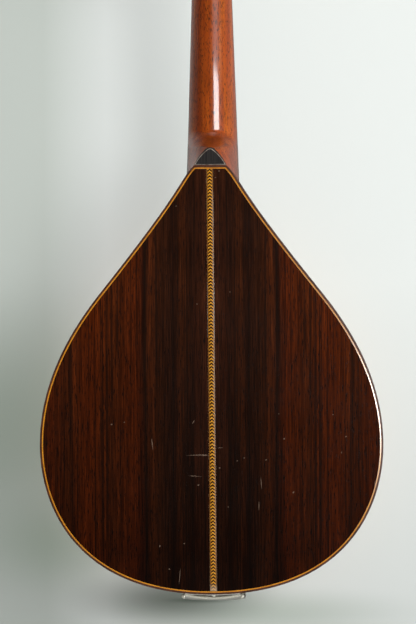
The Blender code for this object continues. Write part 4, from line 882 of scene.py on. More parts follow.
def keep_beyond(form, point, way):
    """Cuts a closed form at a plane given in the body's frame, and keeps the side that way points to."""
    to_neck = (IN_BODY.inverted() @ IN_NECK).inverted()
    cut = slice_form(form, to_neck @ Vector(point), to_neck.to_3x3() @ Vector(way), clear_inner=True)
    rim = [item for item in cut["geom_cut"] if isinstance(item, bmesh.types.BMEdge)]
    bmesh.ops.contextual_create(form, geom=rim)


def add_rod(form, radius, start, end, sides=24):
    """Adds a round rod between two points."""
    start, end = Vector(start), Vector(end)
    turn = (end - start).to_track_quat("Z", "Y").to_matrix().to_4x4()
    return bmesh.ops.create_cone(
        form, cap_ends=True, segments=sides, radius1=radius, radius2=radius, depth=(end - start).length,
        matrix=Matrix.Translation((start + end) / 2) @ turn,
    )["verts"]


def post_bores(name):
    """Eight rods that cut the holes for the string posts through the head."""
    form = bmesh.new()
    for x in (-POST_SIDE, POST_SIDE):
        for height in POST_HEIGHTS:
            add_rod(form, POST_BORE, (x, -2 * HEAD_THICKNESS, height), (x, HEAD_THICKNESS, height))
    return new_piece(name, form, [], IN_HEAD)


neck_wood, tree, shader, place = new_finish("polished_neck")
reds = ((0.28, (0.21, 0.026, 0.0010)), (0.52, (0.38, 0.062, 0.0020)), (0.75, (0.58, 0.130, 0.0060)))
flame = noise(tree, place, (30, 30, 26), 2.0)
colours = add_ramp(tree, noise(tree, place, (170, 170, 5), 3.0), reds)
colours = shade(tree, colours, flame, ((0.3, 0.65), (0.7, 1.25)), 0.5)
pores = noise(tree, place, (1700, 1700, 330), 2.0, 0.5)
filler = add_ramp(tree, pores, ((0.55, 0.0), (0.61, 0.85)))
colours = blend(tree, filler, colours, (0.050, 0.009, 0.002, 1))
# Painted shade: the wood is painted darker and cooler in the hollow where the heel rises from the neck.
heel_root_shade = reach_from(tree, place, (0.0008, -0.1385), (0.0075, 0.0048))
heel_root_shade = spread(tree, heel_root_shade, 0.0, 2.0, way="SMOOTHSTEP")
fill_inputs(tree, shader, {
    "Base Color": shade(tree, colours, heel_root_shade, ((0, (0.42, 0.46, 0.60)), (1, (1, 1, 1)))),
    "Roughness": add_ramp(tree, flame, ((0.3, 0.30), (0.7, 0.40))),
    "Specular IOR Level": 0.32,
    "Coat Weight": 1.0,
    "Coat Roughness": 0.05,
})
sunk = reckon(tree, "SUBTRACT", 1.0, add_ramp(tree, pores, ((0.55, 0.0), (0.61, 1.0))))
raise_grain(tree, shader, sunk, 0.00006)

form = neck_skin()
keep_beyond(form, (0, HEEL_CAP + GAP / 2, 0), (0, 1, 0))
neck = new_piece("carved_neck", form, [neck_wood], IN_NECK)
head_outline = both_sides([point.to_2d() for point in smooth_run(HEAD_SIDE, 8)])
form = cut_out([head_outline], -HEAD_THICKNESS, -VENEER)
soften(form, outer_rim(form, -1), 0.0010, 3)
combine(neck, new_piece("head_blank", form, [neck_wood], IN_HEAD), "UNION")
form = cut_out([body_outline(-GAP / 2)], -0.07, 0.13)
combine(neck, new_piece("body_cutter", form, [neck_wood], IN_BODY), "DIFFERENCE")
combine(neck, post_bores("post_holes"), "DIFFERENCE")
neck.data.shade_smooth()
neck.data.set_sharp_from_angle(angle=math.radians(30))
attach(neck, "instrument")
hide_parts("neck")

# The heel cap: a thin ebony plate glued under the heel, on one plane with the back, with a pale rim that
# is a painted highlight along its edge, and a pale line at its foot.
HEEL_LINE_TOP = BODY_LENGTH + 0.0007
BEYOND_HEEL = 0.40
HIGHLIGHT_RIM = 0.00042
black_wood = mottled(
    "black_wood", (900, 900, 40), 3.0, ((0.3, (0.010, 0.009, 0.009)), (0.7, (0.030, 0.026, 0.024))),
    ((0.3, 0.34), (0.7, 0.48)), 0.00005, Specular_IOR_Level=0.15,
)
worn_line = line_wood("worn_line", (0.045, 0.032, 0.024), (0.20, 0.16, 0.13))
# A pale painted highlight for the rim of the heel cap.
painted_rim_highlight = line_wood("painted_rim_highlight", (0.10, 0.065, 0.045), (0.46, 0.38, 0.31))
for name, finish, low, high, slot in (
    ("heel_plate", black_wood, HEEL_LINE_TOP, BEYOND_HEEL, "ebony"),
    ("heel_line", worn_line, BODY_LENGTH + GAP, HEEL_LINE_TOP, "spruce"),
):
    form = neck_skin()
    keep_beyond(form, (0, 0, low), (0, 0, 1))
    keep_beyond(form, (0, 0, high), (0, 0, -1))
    keep_beyond(form, (0, 0, 0), (0, 1, 0))
    keep_beyond(form, (0, HEEL_CAP, 0), (0, -1, 0))
    if name == "heel_plate":
        bmesh.ops.recalc_face_normals(form, faces=form.faces)
        # A thin rim round the cap's flat face carries the painted highlight.
        flat = [face for face in form.faces if face.normal.y < -0.9]
        rim = bmesh.ops.inset_region(form, faces=flat, thickness=HIGHLIGHT_RIM, use_even_offset=True)
        for face in rim["faces"]:
            face.material_index = 1
    cap = new_piece(name, form, [finish, painted_rim_highlight], IN_NECK)
    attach(cap, "instrument")
    if name == "heel_plate":
        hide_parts("heel_cap")

# The head's face: a dark rosewood veneer glued over the whole head down to the nut, and drilled through
# for the posts.
form = cut_out([head_outline], -VENEER, 0)
slice_form(form, (0, 0, 0.0005), (0, 0, -1), clear_outer=True)
bmesh.ops.holes_fill(form, edges=form.edges, sides=0)
veneer = new_piece("head_veneer", form, [side_rosewood], IN_HEAD)
combine(veneer, post_bores("veneer_holes"), "DIFFERENCE")
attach(veneer, "instrument")

# The fretboard: an ebony board glued on the neck's flat and over the top of the body, tapered to the nut,
# with seventeen nickel frets hammered into slots and pearl dots.
BOARD_LOW = -0.066
BOARD_TOP = GAP + 0.0045
FRET_RADIUS = 0.0010
DOT_RADIUS = 0.0022
form = bmesh.new()
bmesh.ops.create_cube(form, size=1.0)
for vert in form.verts:
    z = NUT_DISTANCE if vert.co.z > 0 else BOARD_LOW
    vert.co = (math.copysign(neck_half_width(z), vert.co.x), GAP / 2 if vert.co.y < 0 else BOARD_TOP, z)
soften(form, sharp_edges(form, lambda place: place.y > 0.004), 0.0004)
board = new_piece("ebony_board", form, [black_wood], IN_NECK)
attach(board, "instrument")
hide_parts("fretboard")

nickel, tree, shader, place = new_finish("aged_nickel")
tarnish = noise(tree, place, 130, 5.0, 0.6)
scuffs = noise(tree, place, (2200, 2200, 160), 2.0)
greys = ((0.25, (0.50, 0.47, 0.41)), (0.50, (0.62, 0.60, 0.55)), (0.75, (0.69, 0.68, 0.63)))
tarnished = add_ramp(tree, tarnish, ((0.3, 0.48), (0.7, 0.40)))
scuffed = add_ramp(tree, scuffs, ((0.3, 0.34), (0.7, 0.52)))
fill_inputs(tree, shader, {
    "Base Color": add_ramp(tree, tarnish, greys),
    "Metallic": 1.0,
    "Roughness": blend(tree, 0.4, tarnished, scuffed),
})
raise_grain(tree, shader, scuffs, 0.00002)
form = bmesh.new()
fret_places = [NUT_DISTANCE - STRING_LENGTH * (1 - 2 ** (-number / 12)) for number in range(1, 18)]
for z in fret_places:
    half = neck_half_width(z) - 0.0002
    for vert in add_rod(form, FRET_RADIUS, (-half, BOARD_TOP, z), (half, BOARD_TOP, z), sides=16):
        vert.co.z = z + (vert.co.z - z) * 1.05
soften(form, sharp_edges(form), 0.0004)
frets = new_piece("fret_wires", form, [nickel], IN_NECK)
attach(frets, "instrument")

pearl = mottled(
    "pearl", 500, 3.0, ((0.3, (0.58, 0.62, 0.60)), (0.5, (0.78, 0.76, 0.72)), (0.7, (0.66, 0.58, 0.60))),
    ((0.3, 0.14), (0.7, 0.28)), 0.00003, figure=(0.6, 1.5),
)
form = bmesh.new()
for number, places in ((5, (0,)), (7, (0,)), (10, (0,)), (12, (-0.0075, 0.0075)), (15, (0,))):
    z = (fret_places[number - 2] + fret_places[number - 1]) / 2
    for x in places:
        add_rod(form, DOT_RADIUS, (x, BOARD_TOP - 0.0008, z), (x, BOARD_TOP + 0.00004, z))
dots = new_piece("fret_dots", form, [pearl], IN_NECK)
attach(dots, "instrument")

# The nut: a block of bone glued across the end of the fretboard, rounded over, with a slot sawn for each
# string. The strings lie in four pairs.
STRING_AT_NUT = 0.0061
NUT_TOP = STRING_AT_NUT + 0.0005
STRINGS_AT_NUT = (0.0066, 0.0018)
STRING_RADII = (0.00014, 0.00019, 0.00030, 0.00045)


def string_places(courses, pair):
    """The eight strings' X places and radii, treble to bass, for the distances of courses and in a pair."""
    places = []
    for i, radius in enumerate(STRING_RADII):
        middle = i - 1.5
        for first_or_second in (1, -1):
            places.append((middle * courses + math.copysign(0.5, middle) * first_or_second * pair, radius))
    return places


bone = mottled(
    "old_bone", 220, 4.0, ((0.25, (0.52, 0.42, 0.26)), (0.75, (0.78, 0.70, 0.54))),
    ((0.3, 0.32), (0.7, 0.48)), 0.00004,
)
form = bmesh.new()
bmesh.ops.create_cube(form, size=1.0)
for vert in form.verts:
    y = GAP / 2 if vert.co.y < 0 else NUT_TOP
    z = NUT_DISTANCE + (GAP / 2 if vert.co.z < 0 else GAP + NUT_THICKNESS)
    vert.co = (math.copysign(HALF_WIDTH_AT_NUT, vert.co.x), y, z)
soften(form, [edge for edge in form.edges if any(vert.co.y > 0.004 for vert in edge.verts)], 0.0005, 3)
nut = new_piece("bone_nut", form, [bone], IN_NECK)
form = bmesh.new()
for x, radius in string_places(*STRINGS_AT_NUT):
    slot_middle = (x, STRING_AT_NUT - GAP / 2 + 0.001, NUT_DISTANCE + NUT_THICKNESS / 2)
    add_block(form, slot_middle, (2 * radius + 0.0002, 0.002, 0.012))
combine(nut, new_piece("nut_slots", form, [], IN_NECK), "DIFFERENCE")
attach(nut, "instrument")
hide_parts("nut")

# The bridge: a low bar of dark rosewood, thinner towards its top, with a bone saddle let into it. It isn't
# glued: the strings hold it on the soundboard.
BRIDGE_DISTANCE = STRING_LENGTH - NUT_DISTANCE
STRING_AT_BRIDGE = 0.0105
BRIDGE_TOP = STRING_AT_BRIDGE - 0.0015
BRIDGE_HALF_FOOT = 0.004
SADDLE_HEIGHT = 0.0040
BRIDGE_KNOTS = (
    (0.064, 0.0033), (0.052, 0.0033), (0.040, 0.0037), (0.029, BRIDGE_TOP - 0.0014), (0.025, BRIDGE_TOP),
    (0, BRIDGE_TOP),
)
IN_BRIDGE = IN_NECK @ Matrix.Translation((0, 0, -BRIDGE_DISTANCE))
bass_half = [Vector((0.052, GAP / 2))] + [point.to_2d() for point in smooth_run(BRIDGE_KNOTS, 6)]
form = cut_out([both_sides(bass_half)], -BRIDGE_HALF_FOOT, BRIDGE_HALF_FOOT)
bmesh.ops.rotate(form, verts=form.verts, matrix=Matrix.Rotation(math.radians(-90), 3, "X"))
for vert in form.verts:
    vert.co.z *= 1 - 0.5 * max(vert.co.y, 0) / 0.0102
bmesh.ops.recalc_face_normals(form, faces=form.faces)
soften(form, sharp_edges(form, lambda place: place.y > 0.001), 0.0005)
bridge = new_piece("bridge_bar", form, [edge_rosewood], IN_BRIDGE)
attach(bridge, "instrument")
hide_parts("bridge")
form = bmesh.new()
saddle_middle = (0, STRING_AT_BRIDGE - GAP / 2 - SADDLE_HEIGHT / 2, 0)
add_block(form, saddle_middle, (0.049, SADDLE_HEIGHT, 0.0024))
soften(form, sharp_edges(form, lambda place: place.y > 0.009), 0.0008, 4)
saddle = new_piece("bridge_saddle", form, [bone], IN_BRIDGE)
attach(saddle, "instrument")

# The tuners: two nickel plates screwed to the head's back. Each carries four worms in bent tabs, and each
# worm drives a gear on the foot of its string post.
TEETH = 14
GEAR_RADIUS = 0.00425
WORM_RADIUS = 0.00195
WORM_CORE = 0.0012
WORM_LENGTH = 0.0068
TOOTH_RISE = 0.0005
GEAR_PITCH = 2 * math.pi * GEAR_RADIUS / TEETH
FLANK = math.tan(math.radians(20))
PLATE_THICKNESS = 0.0015
PLATE_BACK = -HEAD_THICKNESS - GAP - PLATE_THICKNESS
GEAR_MIDDLE = PLATE_BACK - GAP - WORM_RADIUS - TOOTH_RISE
TAB = 0.0012
TAB_BORE = 0.00145
TAB_AXES = Matrix(((0, 1, 0, 0), (0, 0, 1, 0), (1, 0, 0, 0), (0, 0, 0, 1)))


def rounded_bar(low, high, half_width, corner):
    """A closed upright outline with round corners, about X = 0."""
    points = []
    for x, z, first in ((1, low, -90), (1, high, 0), (-1, high, 90), (-1, low, 180)):
        centre = (x * (half_width - corner), z + corner if z == low else z - corner)
        for i in range(7):
            turn = math.radians(first + 15 * i)
            points.append((centre[0] + corner * math.cos(turn), centre[1] + corner * math.sin(turn)))
    return points


for side, hand in HANDS:
    outline = [(x + side * POST_SIDE, z) for x, z in rounded_bar(0.016, 0.113, 0.008, 0.0035)]
    bores = [oval(POST_BORE, POST_BORE, 24, (side * POST_SIDE, height)) for height in POST_HEIGHTS]
    form = cut_out([outline, *bores], PLATE_BACK, PLATE_BACK + PLATE_THICKNESS + GAP / 2)
    soften(form, sharp_edges(form, lambda place: place.y < PLATE_BACK + 0.0001), 0.0003)
    for height in POST_HEIGHTS:
        for way in (-1, 1):
            outline = rounded_bar(GEAR_MIDDLE - 0.0034, PLATE_BACK + 0.0007, 0.0031, 0.0020)
            bore = oval(TAB_BORE, TAB_BORE, 20, (0, GEAR_MIDDLE))
            tab = cut_out([outline, bore], -TAB / 2, TAB / 2)
            x = side * POST_SIDE + way * (WORM_LENGTH / 2 + GAP + TAB / 2)
            place = Matrix.Translation((x, 0, height - GEAR_RADIUS - WORM_RADIUS)) @ TAB_AXES
            bmesh.ops.transform(tab, matrix=place, verts=tab.verts)
            mesh = bpy.data.meshes.new("tab")
            tab.to_mesh(mesh)
            tab.free()
            form.from_mesh(mesh)
            bpy.data.meshes.remove(mesh)
    plate = new_piece("gear_plate_" + hand, form, [nickel], IN_HEAD)
    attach(plate, "instrument")
    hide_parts("tuner_plate_" + hand)

# Small round-headed nickel screws hold the plates, a pair beyond each end and a pair between each two
# gears. Their slots stop at all angles.
SCREW_RADIUS = 0.0016
screw_places = [
    (x + sideways, height, 0.7 * i + 4000 * sideways * x)
    for x in (-POST_SIDE, POST_SIDE)
    for i, height in enumerate((0.0195, 0.0415, 0.0645, 0.0875, 0.1095))
    for sideways in (-0.0052, 0.0052)
]
form = bmesh.new()
for x, height, _ in screw_places:
    dome = bmesh.ops.create_uvsphere(form, u_segments=16, v_segments=8, radius=SCREW_RADIUS)
    for vert in dome["verts"]:
        vert.co = (x + vert.co.x, PLATE_BACK - max(vert.co.z, -0.0004) * 0.55, height + vert.co.y)
bmesh.ops.remove_doubles(form, verts=form.verts, dist=0.00001)
screws = new_piece("plate_screws", form, [nickel], IN_HEAD)
form = bmesh.new()
for x, height, turn in screw_places:
    lean = Matrix.Rotation(turn, 4, "Y")
    add_block(form, (x, PLATE_BACK - 0.0010, height), (0.004, 0.0008, 0.00045), lean)
combine(screws, new_piece("screw_slots", form, [], IN_HEAD), "DIFFERENCE")
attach(screws, "instrument")

# The string posts: turned nickel rods with a hole for the string, and a brass gear of fourteen cut teeth
# on the foot, held by a slotted screw.
GEAR_FACES = ((-0.0011, 0.0002), (-0.0009, 0), (0.0009, 0), (0.0011, 0.0002))
TOOTH = 0.00055
ROOT_DROP = 0.00075
POST_FOOT = GEAR_MIDDLE - 0.0019
POST_RADIUS = 0.0030
POST_NECK = 0.0024
POST_PROFILE = (
    (0, POST_FOOT), (0.0019, POST_FOOT), (0.0024, POST_FOOT + 0.0004), (0.0024, POST_FOOT + 0.0009),
    (POST_RADIUS, POST_FOOT + 0.0009), (POST_RADIUS, 0.0060), (POST_NECK, 0.0072), (POST_NECK, 0.0090),
    (POST_RADIUS, 0.0102), (POST_RADIUS, 0.0124), (0.0024, 0.0130), (0, 0.0130),
)
STRING_HOLE = 0.0006
TUNERS = [
    (side, height, name)
    for side, names in ((1, ("g1", "g2", "d1", "d2")), (-1, ("e1", "e2", "a1", "a2")))
    for height, name in zip(POST_HEIGHTS, names)
]


def ring_loft(form, rings):
    """Joins rings of equally many points by faces and closes both ends."""
    loops = []
    for ring in rings:
        made = bmesh.ops.create_circle(form, segments=len(ring), radius=1.0)["verts"]
        for vert, point in zip(made, ring):
            vert.co = point
        loops.append([edge for edge in form.edges if edge.verts[0] in made and edge.verts[1] in made])
    for below, above in zip(loops, loops[1:]):
        bmesh.ops.bridge_loops(form, edges=below + above)
    for ends in (loops[0], loops[-1]):
        bmesh.ops.contextual_create(form, geom=ends)


def gear_ring(depth, trim):
    """One outline of the gear; its teeth lean with the worm's thread."""
    lean = GEAR_PITCH / (2 * math.pi * WORM_RADIUS * GEAR_RADIUS)
    first = GEAR_PITCH / (4 * GEAR_RADIUS) + math.pi / TEETH
    tip, root = GEAR_RADIUS + TOOTH_RISE - trim, GEAR_RADIUS - ROOT_DROP
    at_tip, at_root = (TOOTH - 2 * TOOTH_RISE * FLANK) / 2, (TOOTH + 2 * ROOT_DROP * FLANK) / 2
    points = []
    for i in range(TEETH):
        middle = first - depth * lean + 2 * math.pi * i / TEETH
        for radius, across in ((root, -at_root), (tip, -at_tip), (tip, at_tip), (root, at_root)):
            angle = middle + across / radius
            points.append((radius * math.sin(angle), GEAR_MIDDLE + depth, -radius * math.cos(angle)))
    return points


brass = mottled(
    "gear_brass", 300, 5.0,
    ((0.25, (0.30, 0.19, 0.07)), (0.55, (0.58, 0.41, 0.17)), (0.80, (0.72, 0.55, 0.27))),
    ((0.3, 0.42), (0.7, 0.24)), 0.00003, figure=(0.6, 0.0), Metallic=1.0,
)
for side, height, name in TUNERS:
    form = bmesh.new()
    ring_loft(form, [gear_ring(depth, trim) for depth, trim in GEAR_FACES])
    spine = [form.verts.new((x, y, 0)) for x, y in POST_PROFILE]
    for first, second in zip(spine, spine[1:]):
        form.edges.new((first, second))
    edges = list({edge for vert in spine for edge in vert.link_edges})
    bmesh.ops.spin(
        form, geom=spine + edges, axis=(0, 1, 0), cent=(0, 0, 0), angle=2 * math.pi, steps=24, use_merge=True,
    )
    bmesh.ops.remove_doubles(form, verts=form.verts, dist=0.00001)
    for face in form.faces:
        face.material_index = 0 if face.calc_center_median().xz.length > POST_RADIUS + 0.0001 else 1
    post = new_piece("gear_post_" + name, form, [brass, nickel])
    form = bmesh.new()
    add_block(form, (0, POST_FOOT, 0), (0.006, 0.0009, 0.0005))
    add_rod(form, STRING_HOLE, (-0.005, 0.0082, 0), (0.005, 0.0082, 0), sides=12)
    combine(post, new_piece("post_cuts", form, [brass, nickel]), "DIFFERENCE")
    post.data.transform(IN_HEAD @ Matrix.Translation((side * POST_SIDE, 0, height)))
    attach(post, "post_" + name)
    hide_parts("tuner_post_" + name)


# The worms: nickel-plated steel shafts with a cut thread of one start that lies in the gear's teeth, each
# held between its plate's two tabs and turned by a button.
def on_worm_axis(side, height, distance):
    """A place on a worm's axis at a distance from the head's middle, with X outwards."""
    turn = Matrix.Identity(4) if side > 0 else Matrix.Rotation(math.pi, 4, "Y")
    middle = (side * distance, GEAR_MIDDLE, height - GEAR_RADIUS - WORM_RADIUS)
    return IN_HEAD @ Matrix.Translation(middle) @ turn


SHAFT_INNER = -0.0055
SHAFT_OUTER = 0.0202
STEPS_A_TURN = 20
THREAD_ROOT = 0.0010
crest = 0.0007 - 2 * TOOTH_RISE * FLANK
base = 0.0007 + 2 * 0.00095 * FLANK
half_count = round((WORM_LENGTH - base) / GEAR_PITCH * STEPS_A_TURN) // 2
thread = []
for i in range(-half_count, half_count + 1):
    turn, along = 2 * math.pi * i / STEPS_A_TURN, GEAR_PITCH * i / STEPS_A_TURN
    top = WORM_CORE + (WORM_RADIUS + TOOTH_RISE - WORM_CORE) * min(1, (half_count - abs(i)) / 4 + 0.15)
    section = ((THREAD_ROOT, -base / 2), (top, -crest / 2), (top, crest / 2), (THREAD_ROOT, base / 2))
    cosine, sine = math.cos(turn), math.sin(turn)
    thread.append([(along + across, reach * cosine, reach * sine) for reach, across in section])
for side, height, name in TUNERS:
    form = bmesh.new()
    bmesh.ops.create_grid(form, x_segments=4, y_segments=len(thread) - 1, size=1.0)
    for vert in form.verts:
        column = round((vert.co.x + 1) * 2) % 4
        vert.co = thread[round((vert.co.y + 1) / 2 * (len(thread) - 1))][column]
    bmesh.ops.remove_doubles(form, verts=form.verts, dist=0.000001)
    bmesh.ops.holes_fill(form, edges=form.edges, sides=0)
    add_rod(form, WORM_CORE, (SHAFT_INNER, 0, 0), (SHAFT_OUTER, 0, 0), sides=20)
    soften(form, sharp_edges(form, lambda place: place.x < -0.005 or place.x > 0.02), 0.0003)
    worm = new_piece("worm_shaft_" + name, form, [nickel], on_worm_axis(side, height, POST_SIDE))
    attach(worm, "worm_" + name)
    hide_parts("tuner_worm_" + name)

# The buttons: turned ovals of grained ivoroid, yellowed with age and pinched flat for the fingers, each
# pressed on its shaft behind a small nickel collar.
BUTTON_DISTANCE = 0.038
BUTTON_HALF_SIZES = (0.0085, 0.0055, 0.0070)
COLLAR_RADIUS = 0.0023
ivoroid, tree, shader, place = new_finish("grained_ivoroid")
layers = add_node(
    tree, "TexWave", {"Vector": place, "Scale": 900.0, "Distortion": 3.0, "Detail": 2.0}, bands_direction="Z"
).outputs["Fac"]
age = noise(tree, place, 160, 3.0)
colours = add_ramp(tree, layers, ((0.2, (0.60, 0.47, 0.24)), (0.8, (0.72, 0.61, 0.37))))
fill_inputs(tree, shader, {
    "Base Color": shade(tree, colours, age, ((0.3, 0.75), (0.7, 1.1)), 0.6),
    "Roughness": add_ramp(tree, age, ((0.3, 0.26), (0.7, 0.38))),
})
raise_grain(tree, shader, layers, 0.00003, 0.2)
for side, height, name in TUNERS:
    form = bmesh.new()
    bmesh.ops.create_uvsphere(form, u_segments=36, v_segments=20, radius=1.0)
    bmesh.ops.rotate(form, matrix=Matrix.Rotation(math.radians(90), 3, "Y"), verts=form.verts)
    for vert in form.verts:
        x, y, z = vert.co
        waist = 1 - 0.10 * math.exp(-((x + 0.75) / 0.25) ** 2)
        pinch = 1 - 0.35 * (1 - min(1, abs(z) * 1.25)) * (1 - x * x)
        vert.co = Vector(BUTTON_HALF_SIZES) * Vector((x, y * pinch * waist, z * waist))
    for vert in add_rod(form, COLLAR_RADIUS, (-0.0091, 0, 0), (-0.0072, 0, 0), sides=20):
        for face in vert.link_faces:
            face.material_index = 1
    place = on_worm_axis(side, height, BUTTON_DISTANCE)
    button = new_piece("button_" + name, form, [ivoroid, nickel], place)
    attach(button, "worm_" + name)
    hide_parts("tuner_button_" + name)

# The tailpiece: a nickel plate bent over the tail edge, with double hooks, under its cover. Its screw has
# a round slotted head that shows behind the cover's lip, and is driven into the tail block.
SCREW_DEPTH = 0.0210
SCREW_HEAD = 0.0024
SCREW_SHANK = 0.0013
TAILPIECE_THICKNESS = 0.0012
seat = -GAP - TAILPIECE_THICKNESS - GAP
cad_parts["tailpiece"].data.materials.clear()
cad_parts["tailpiece"].data.materials.append(nickel)
form = bmesh.new()
bmesh.ops.create_uvsphere(form, u_segments=24, v_segments=12, radius=SCREW_HEAD)
for vert in form.verts:
    vert.co.z = seat + 0.6 * min(vert.co.z, 0)
bmesh.ops.remove_doubles(form, verts=form.verts, dist=0.00001)
add_rod(form, SCREW_SHANK, (0, 0, seat - 0.0004), (0, 0, 0.014), sides=16)
screw = new_piece("tail_screw", form, [nickel], IN_BODY @ Matrix.Translation((0, SCREW_DEPTH, 0)))
form = bmesh.new()
add_block(form, (0, SCREW_DEPTH, seat - 0.0014), (0.006, 0.0005, 0.0010), Matrix.Rotation(0.5, 4, "Z"))
combine(screw, new_piece("screw_slot", form, [], IN_BODY), "DIFFERENCE")
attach(screw, "instrument")
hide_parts("tailpiece_screw")

# The tailpiece cover: a sheet of nickel silver that slides over the hooks. Its skirt hangs past the tail,
# and ends towards the back in a rolled lip, pale with painted reflection.
COVER_HALF_WIDTH = 0.023
COVER_RISE = GAP + 0.009
COVER_THICKNESS = 0.0009
LIP_RADIUS = 0.00105
over_top = top_depth(0.056) + COVER_RISE
over_edge = 0.055 + COVER_RISE
cover_run = smooth_run((
    (0.084, over_top, 0.009), (0.056, over_top, 0.009), (0.028, (over_top + over_edge) / 2, 0.009),
    (0.003, over_edge - 0.0008, 0.0076), (-0.0066, 0.0586, 0.0036), (-0.0078, 0.049, 0.0018),
    (-0.0046, 0.016, 0.0018), (-0.0026, -0.0046, 0.0018),
), 8)
form = bmesh.new()
bmesh.ops.create_grid(form, x_segments=40, y_segments=len(cover_run) - 1, size=1.0)
for vert in form.verts:
    row = round((vert.co.y + 1) / 2 * (len(cover_run) - 1))
    height, depth, drop = cover_run[row]
    way = cover_run[min(row + 1, len(cover_run) - 1)] - cover_run[max(row - 1, 0)]
    way = way.to_2d().normalized()
    across = math.sin(vert.co.x * math.pi / 2)
    fall = drop * (1 - math.sqrt(1 - min(abs(across) ** 3, 1)))
    near_lip = min(max((0.049 - depth) / 0.033, 0), 1)
    fall += near_lip * (0.0021 * across * across - fall)
    vert.co = (across * COVER_HALF_WIDTH, depth - abs(way.x) * fall, height - way.y * fall)
cover = new_piece("sliding_cover", form, [nickel], IN_BODY, crease=60)
sheet = cover.modifiers.new("thickness", "SOLIDIFY")
sheet.thickness = COVER_THICKNESS
sheet.offset = -1
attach(cover, "cover")
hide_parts("tailpiece_cover")


def bead(form, points, radii, sides):
    """A round bar along points, closed at both ends, of one radius or with one for each point."""
    rings = []
    for i, point in enumerate(points):
        way = (points[min(i + 1, len(points) - 1)] - points[max(i - 1, 0)]).normalized()
        turn = way.to_track_quat("Z", "Y").to_matrix()
        radius = radii[i] if isinstance(radii, tuple) else radii
        angles = [2 * math.pi * k / sides for k in range(sides)]
        rings.append([point + turn @ Vector((radius * math.cos(a), radius * math.sin(a), 0)) for a in angles])
    bmesh.ops.create_grid(form, x_segments=sides, y_segments=len(rings) - 1, size=1.0)
    fresh = [vert for vert in form.verts if not vert.tag]
    for vert in fresh:
        ring = rings[round((vert.co.y + 1) / 2 * (len(rings) - 1))]
        vert.co = ring[round((vert.co.x + 1) / 2 * sides) % sides]
    bmesh.ops.remove_doubles(form, verts=fresh, dist=0.0000001)
    bmesh.ops.holes_fill(form, edges=form.edges, sides=0)
    for vert in form.verts:
        vert.tag = True


# Nickel for the lip, its ears and its stud: half metal and half pale paint, a painted reflection of a bright
# room.
pale_nickel_painted_sheen = mottled(
    "pale_nickel_painted_sheen", 900, 3.0, ((0.3, (0.62, 0.59, 0.50)), (0.7, (0.78, 0.75, 0.65))),
    ((0.3, 0.45), (0.7, 0.36)), 0.00001, 0.2, Metallic=0.5,
)
lip_line = []
for i in range(-20, 21):
    x = 0.0208 * i / 20
    lip_line.append(Vector((x, 0.0160, -0.00375 + 0.0022 * (x / 0.020) ** 2)))
form = bmesh.new()
bead(form, lip_line, LIP_RADIUS, 12)
lip = new_piece("cover_lip", form, [pale_nickel_painted_sheen], IN_BODY, crease=60)
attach(lip, "cover")

# The ends of the lip are curled up into small nickel ears, and a round stud, riveted to the lip, stands
# near its middle.
STUD_RADIUS = 0.0014
EAR_RADII = (0.0013, 0.0014, 0.0014, 0.0014, 0.0014, 0.0013, 0.0012, 0.0010, 0.0007, 0.0003)
form = bmesh.new()
for way in (-1, 1):
    ear = []
    for i in range(len(EAR_RADII)):
        turn = math.radians(i * 14)
        x, z = 0.0204 + 0.0016 * math.sin(turn), -0.0030 + 0.0017 * (1 - math.cos(turn))
        ear.append(Vector((way * x, 0.0158, z)))
    bead(form, ear, EAR_RADII, 12)
stud = bmesh.ops.create_uvsphere(form, u_segments=20, v_segments=12, radius=STUD_RADIUS)
for vert in stud["verts"]:
    vert.co = (vert.co.x + 0.0008, 0.0139 - vert.co.z, vert.co.y - 0.0016)
ears = new_piece("lip_ears", form, [pale_nickel_painted_sheen], IN_BODY, crease=60)
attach(ears, "cover")

# The strings: plain steel for the two thin courses, and bronze wire wound on steel for the two thick ones.
# Each runs from a loop on its hook over the saddle and the nut, and is wound three times round its post.
THICKEST_PLAIN = 0.00025
STRINGS_AT_HOOKS = (0.0075, 0.0022)
STRINGS_AT_BRIDGE = (0.0120, 0.0025)
HOOK_HEIGHT = 0.0160 + 0.0010 + GAP
HOOK_RISE = 0.0040
HOOK_DEPTH = top_depth(HOOK_HEIGHT) + GAP + TAILPIECE_THICKNESS + 0.6 * HOOK_RISE
STRING_ON_POST = 0.0080
COIL_TURNS = 3
COIL_STEPS = 60
COIL_WIDTH = 6.2
string_steel = mottled(
    "plain_steel", 700, 3.0, ((0.3, (0.48, 0.47, 0.45)), (0.7, (0.70, 0.70, 0.69))),
    ((0.3, 0.36), (0.7, 0.22)), 0.00001, 0.2, Metallic=1.0,
)
wound_wire, tree, shader, place = new_finish("bronze_winding")
turns = add_node(tree, "TexWave", {"Vector": place, "Scale": 1300.0}, bands_direction="Z").outputs["Fac"]
dull = noise(tree, place, 500, 3.0)
bronzes = ((0.1, (0.18, 0.09, 0.035)), (0.6, (0.60, 0.36, 0.17)), (1.0, (0.72, 0.46, 0.24)))
fill_inputs(tree, shader, {
    "Base Color": shade(tree, add_ramp(tree, turns, bronzes), dull, ((0.3, 0.7), (0.7, 1.15)), 0.5),
    "Metallic": 1.0,
    "Roughness": add_ramp(tree, dull, ((0.3, 0.42), (0.7, 0.28))),
})
raise_grain(tree, shader, turns, 0.00006, 0.6)

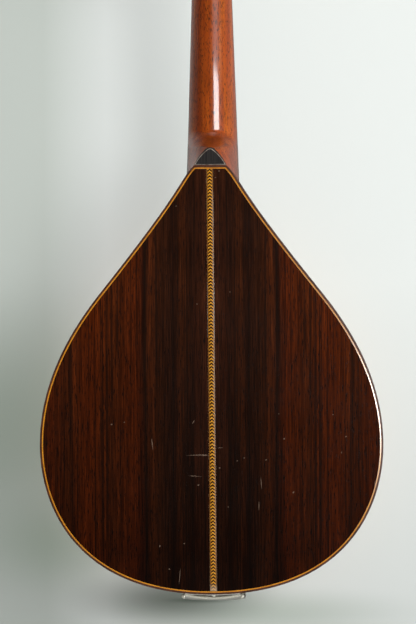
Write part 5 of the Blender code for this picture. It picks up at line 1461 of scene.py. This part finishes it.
POSTS = {name: (side, height) for side, height, name in TUNERS}
runs = zip(
    ("e1", "e2", "a1", "a2", "d1", "d2", "g1", "g2"), string_places(*STRINGS_AT_HOOKS),
    string_places(*STRINGS_AT_BRIDGE), string_places(*STRINGS_AT_NUT),
)
for name, (hook_x, radius), (bridge_x, _), (nut_x, _) in runs:
    side, height = POSTS[name]
    wire = wound_wire if radius > THICKEST_PLAIN else string_steel
    points = [
        IN_BODY @ Vector((hook_x, HOOK_DEPTH, HOOK_HEIGHT)),
        IN_NECK @ Vector((bridge_x, STRING_AT_BRIDGE + radius, -BRIDGE_DISTANCE - 0.0012)),
        IN_NECK @ Vector((bridge_x, STRING_AT_BRIDGE + radius, -BRIDGE_DISTANCE + 0.0012)),
        IN_NECK @ Vector((nut_x, STRING_AT_NUT + radius, NUT_DISTANCE)),
        IN_NECK @ Vector((nut_x, STRING_AT_NUT + radius, NECK_END)),
        IN_HEAD @ Vector((side * (POST_SIDE - POST_RADIUS - GAP - radius), STRING_ON_POST, height)),
    ]
    form = bmesh.new()
    bead(form, points, radius, 8)
    string = new_piece("wire_" + name, form, [wire], crease=60)
    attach(string, "instrument")
    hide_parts("string_" + name)

    reach = POST_NECK + radius
    coil = []
    for k in range(COIL_STEPS + 1):
        turn = (math.pi if side > 0 else 0) - side * 2 * math.pi * COIL_TURNS * k / COIL_STEPS
        x, z = side * POST_SIDE + reach * math.cos(turn), height + reach * math.sin(turn)
        coil.append(Vector((x, STRING_ON_POST - (k / COIL_STEPS - 0.5) * COIL_WIDTH * radius, z)))
    form = bmesh.new()
    bead(form, coil, radius, 8)
    winding = new_piece("winding_" + name, form, [wire], IN_HEAD, crease=60)
    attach(winding, "post_" + name)

    loop = [Vector((hook_x + 0.0002, HOOK_DEPTH, HOOK_HEIGHT + 0.0040))]
    for k in range(17):
        turn = math.pi * k / 16
        x, z = hook_x + 0.0011 * math.cos(turn), HOOK_HEIGHT - 0.0010 - 0.0026 * math.sin(turn)
        loop.append(Vector((x, HOOK_DEPTH, z)))
    loop.append(Vector((hook_x - 0.0002, HOOK_DEPTH, HOOK_HEIGHT + 0.0040)))
    form = bmesh.new()
    bead(form, loop, min(radius, 0.0002), 8)
    end_loop = new_piece("end_loop_" + name, form, [string_steel], IN_BODY, crease=60)
    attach(end_loop, "instrument")

low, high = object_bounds()
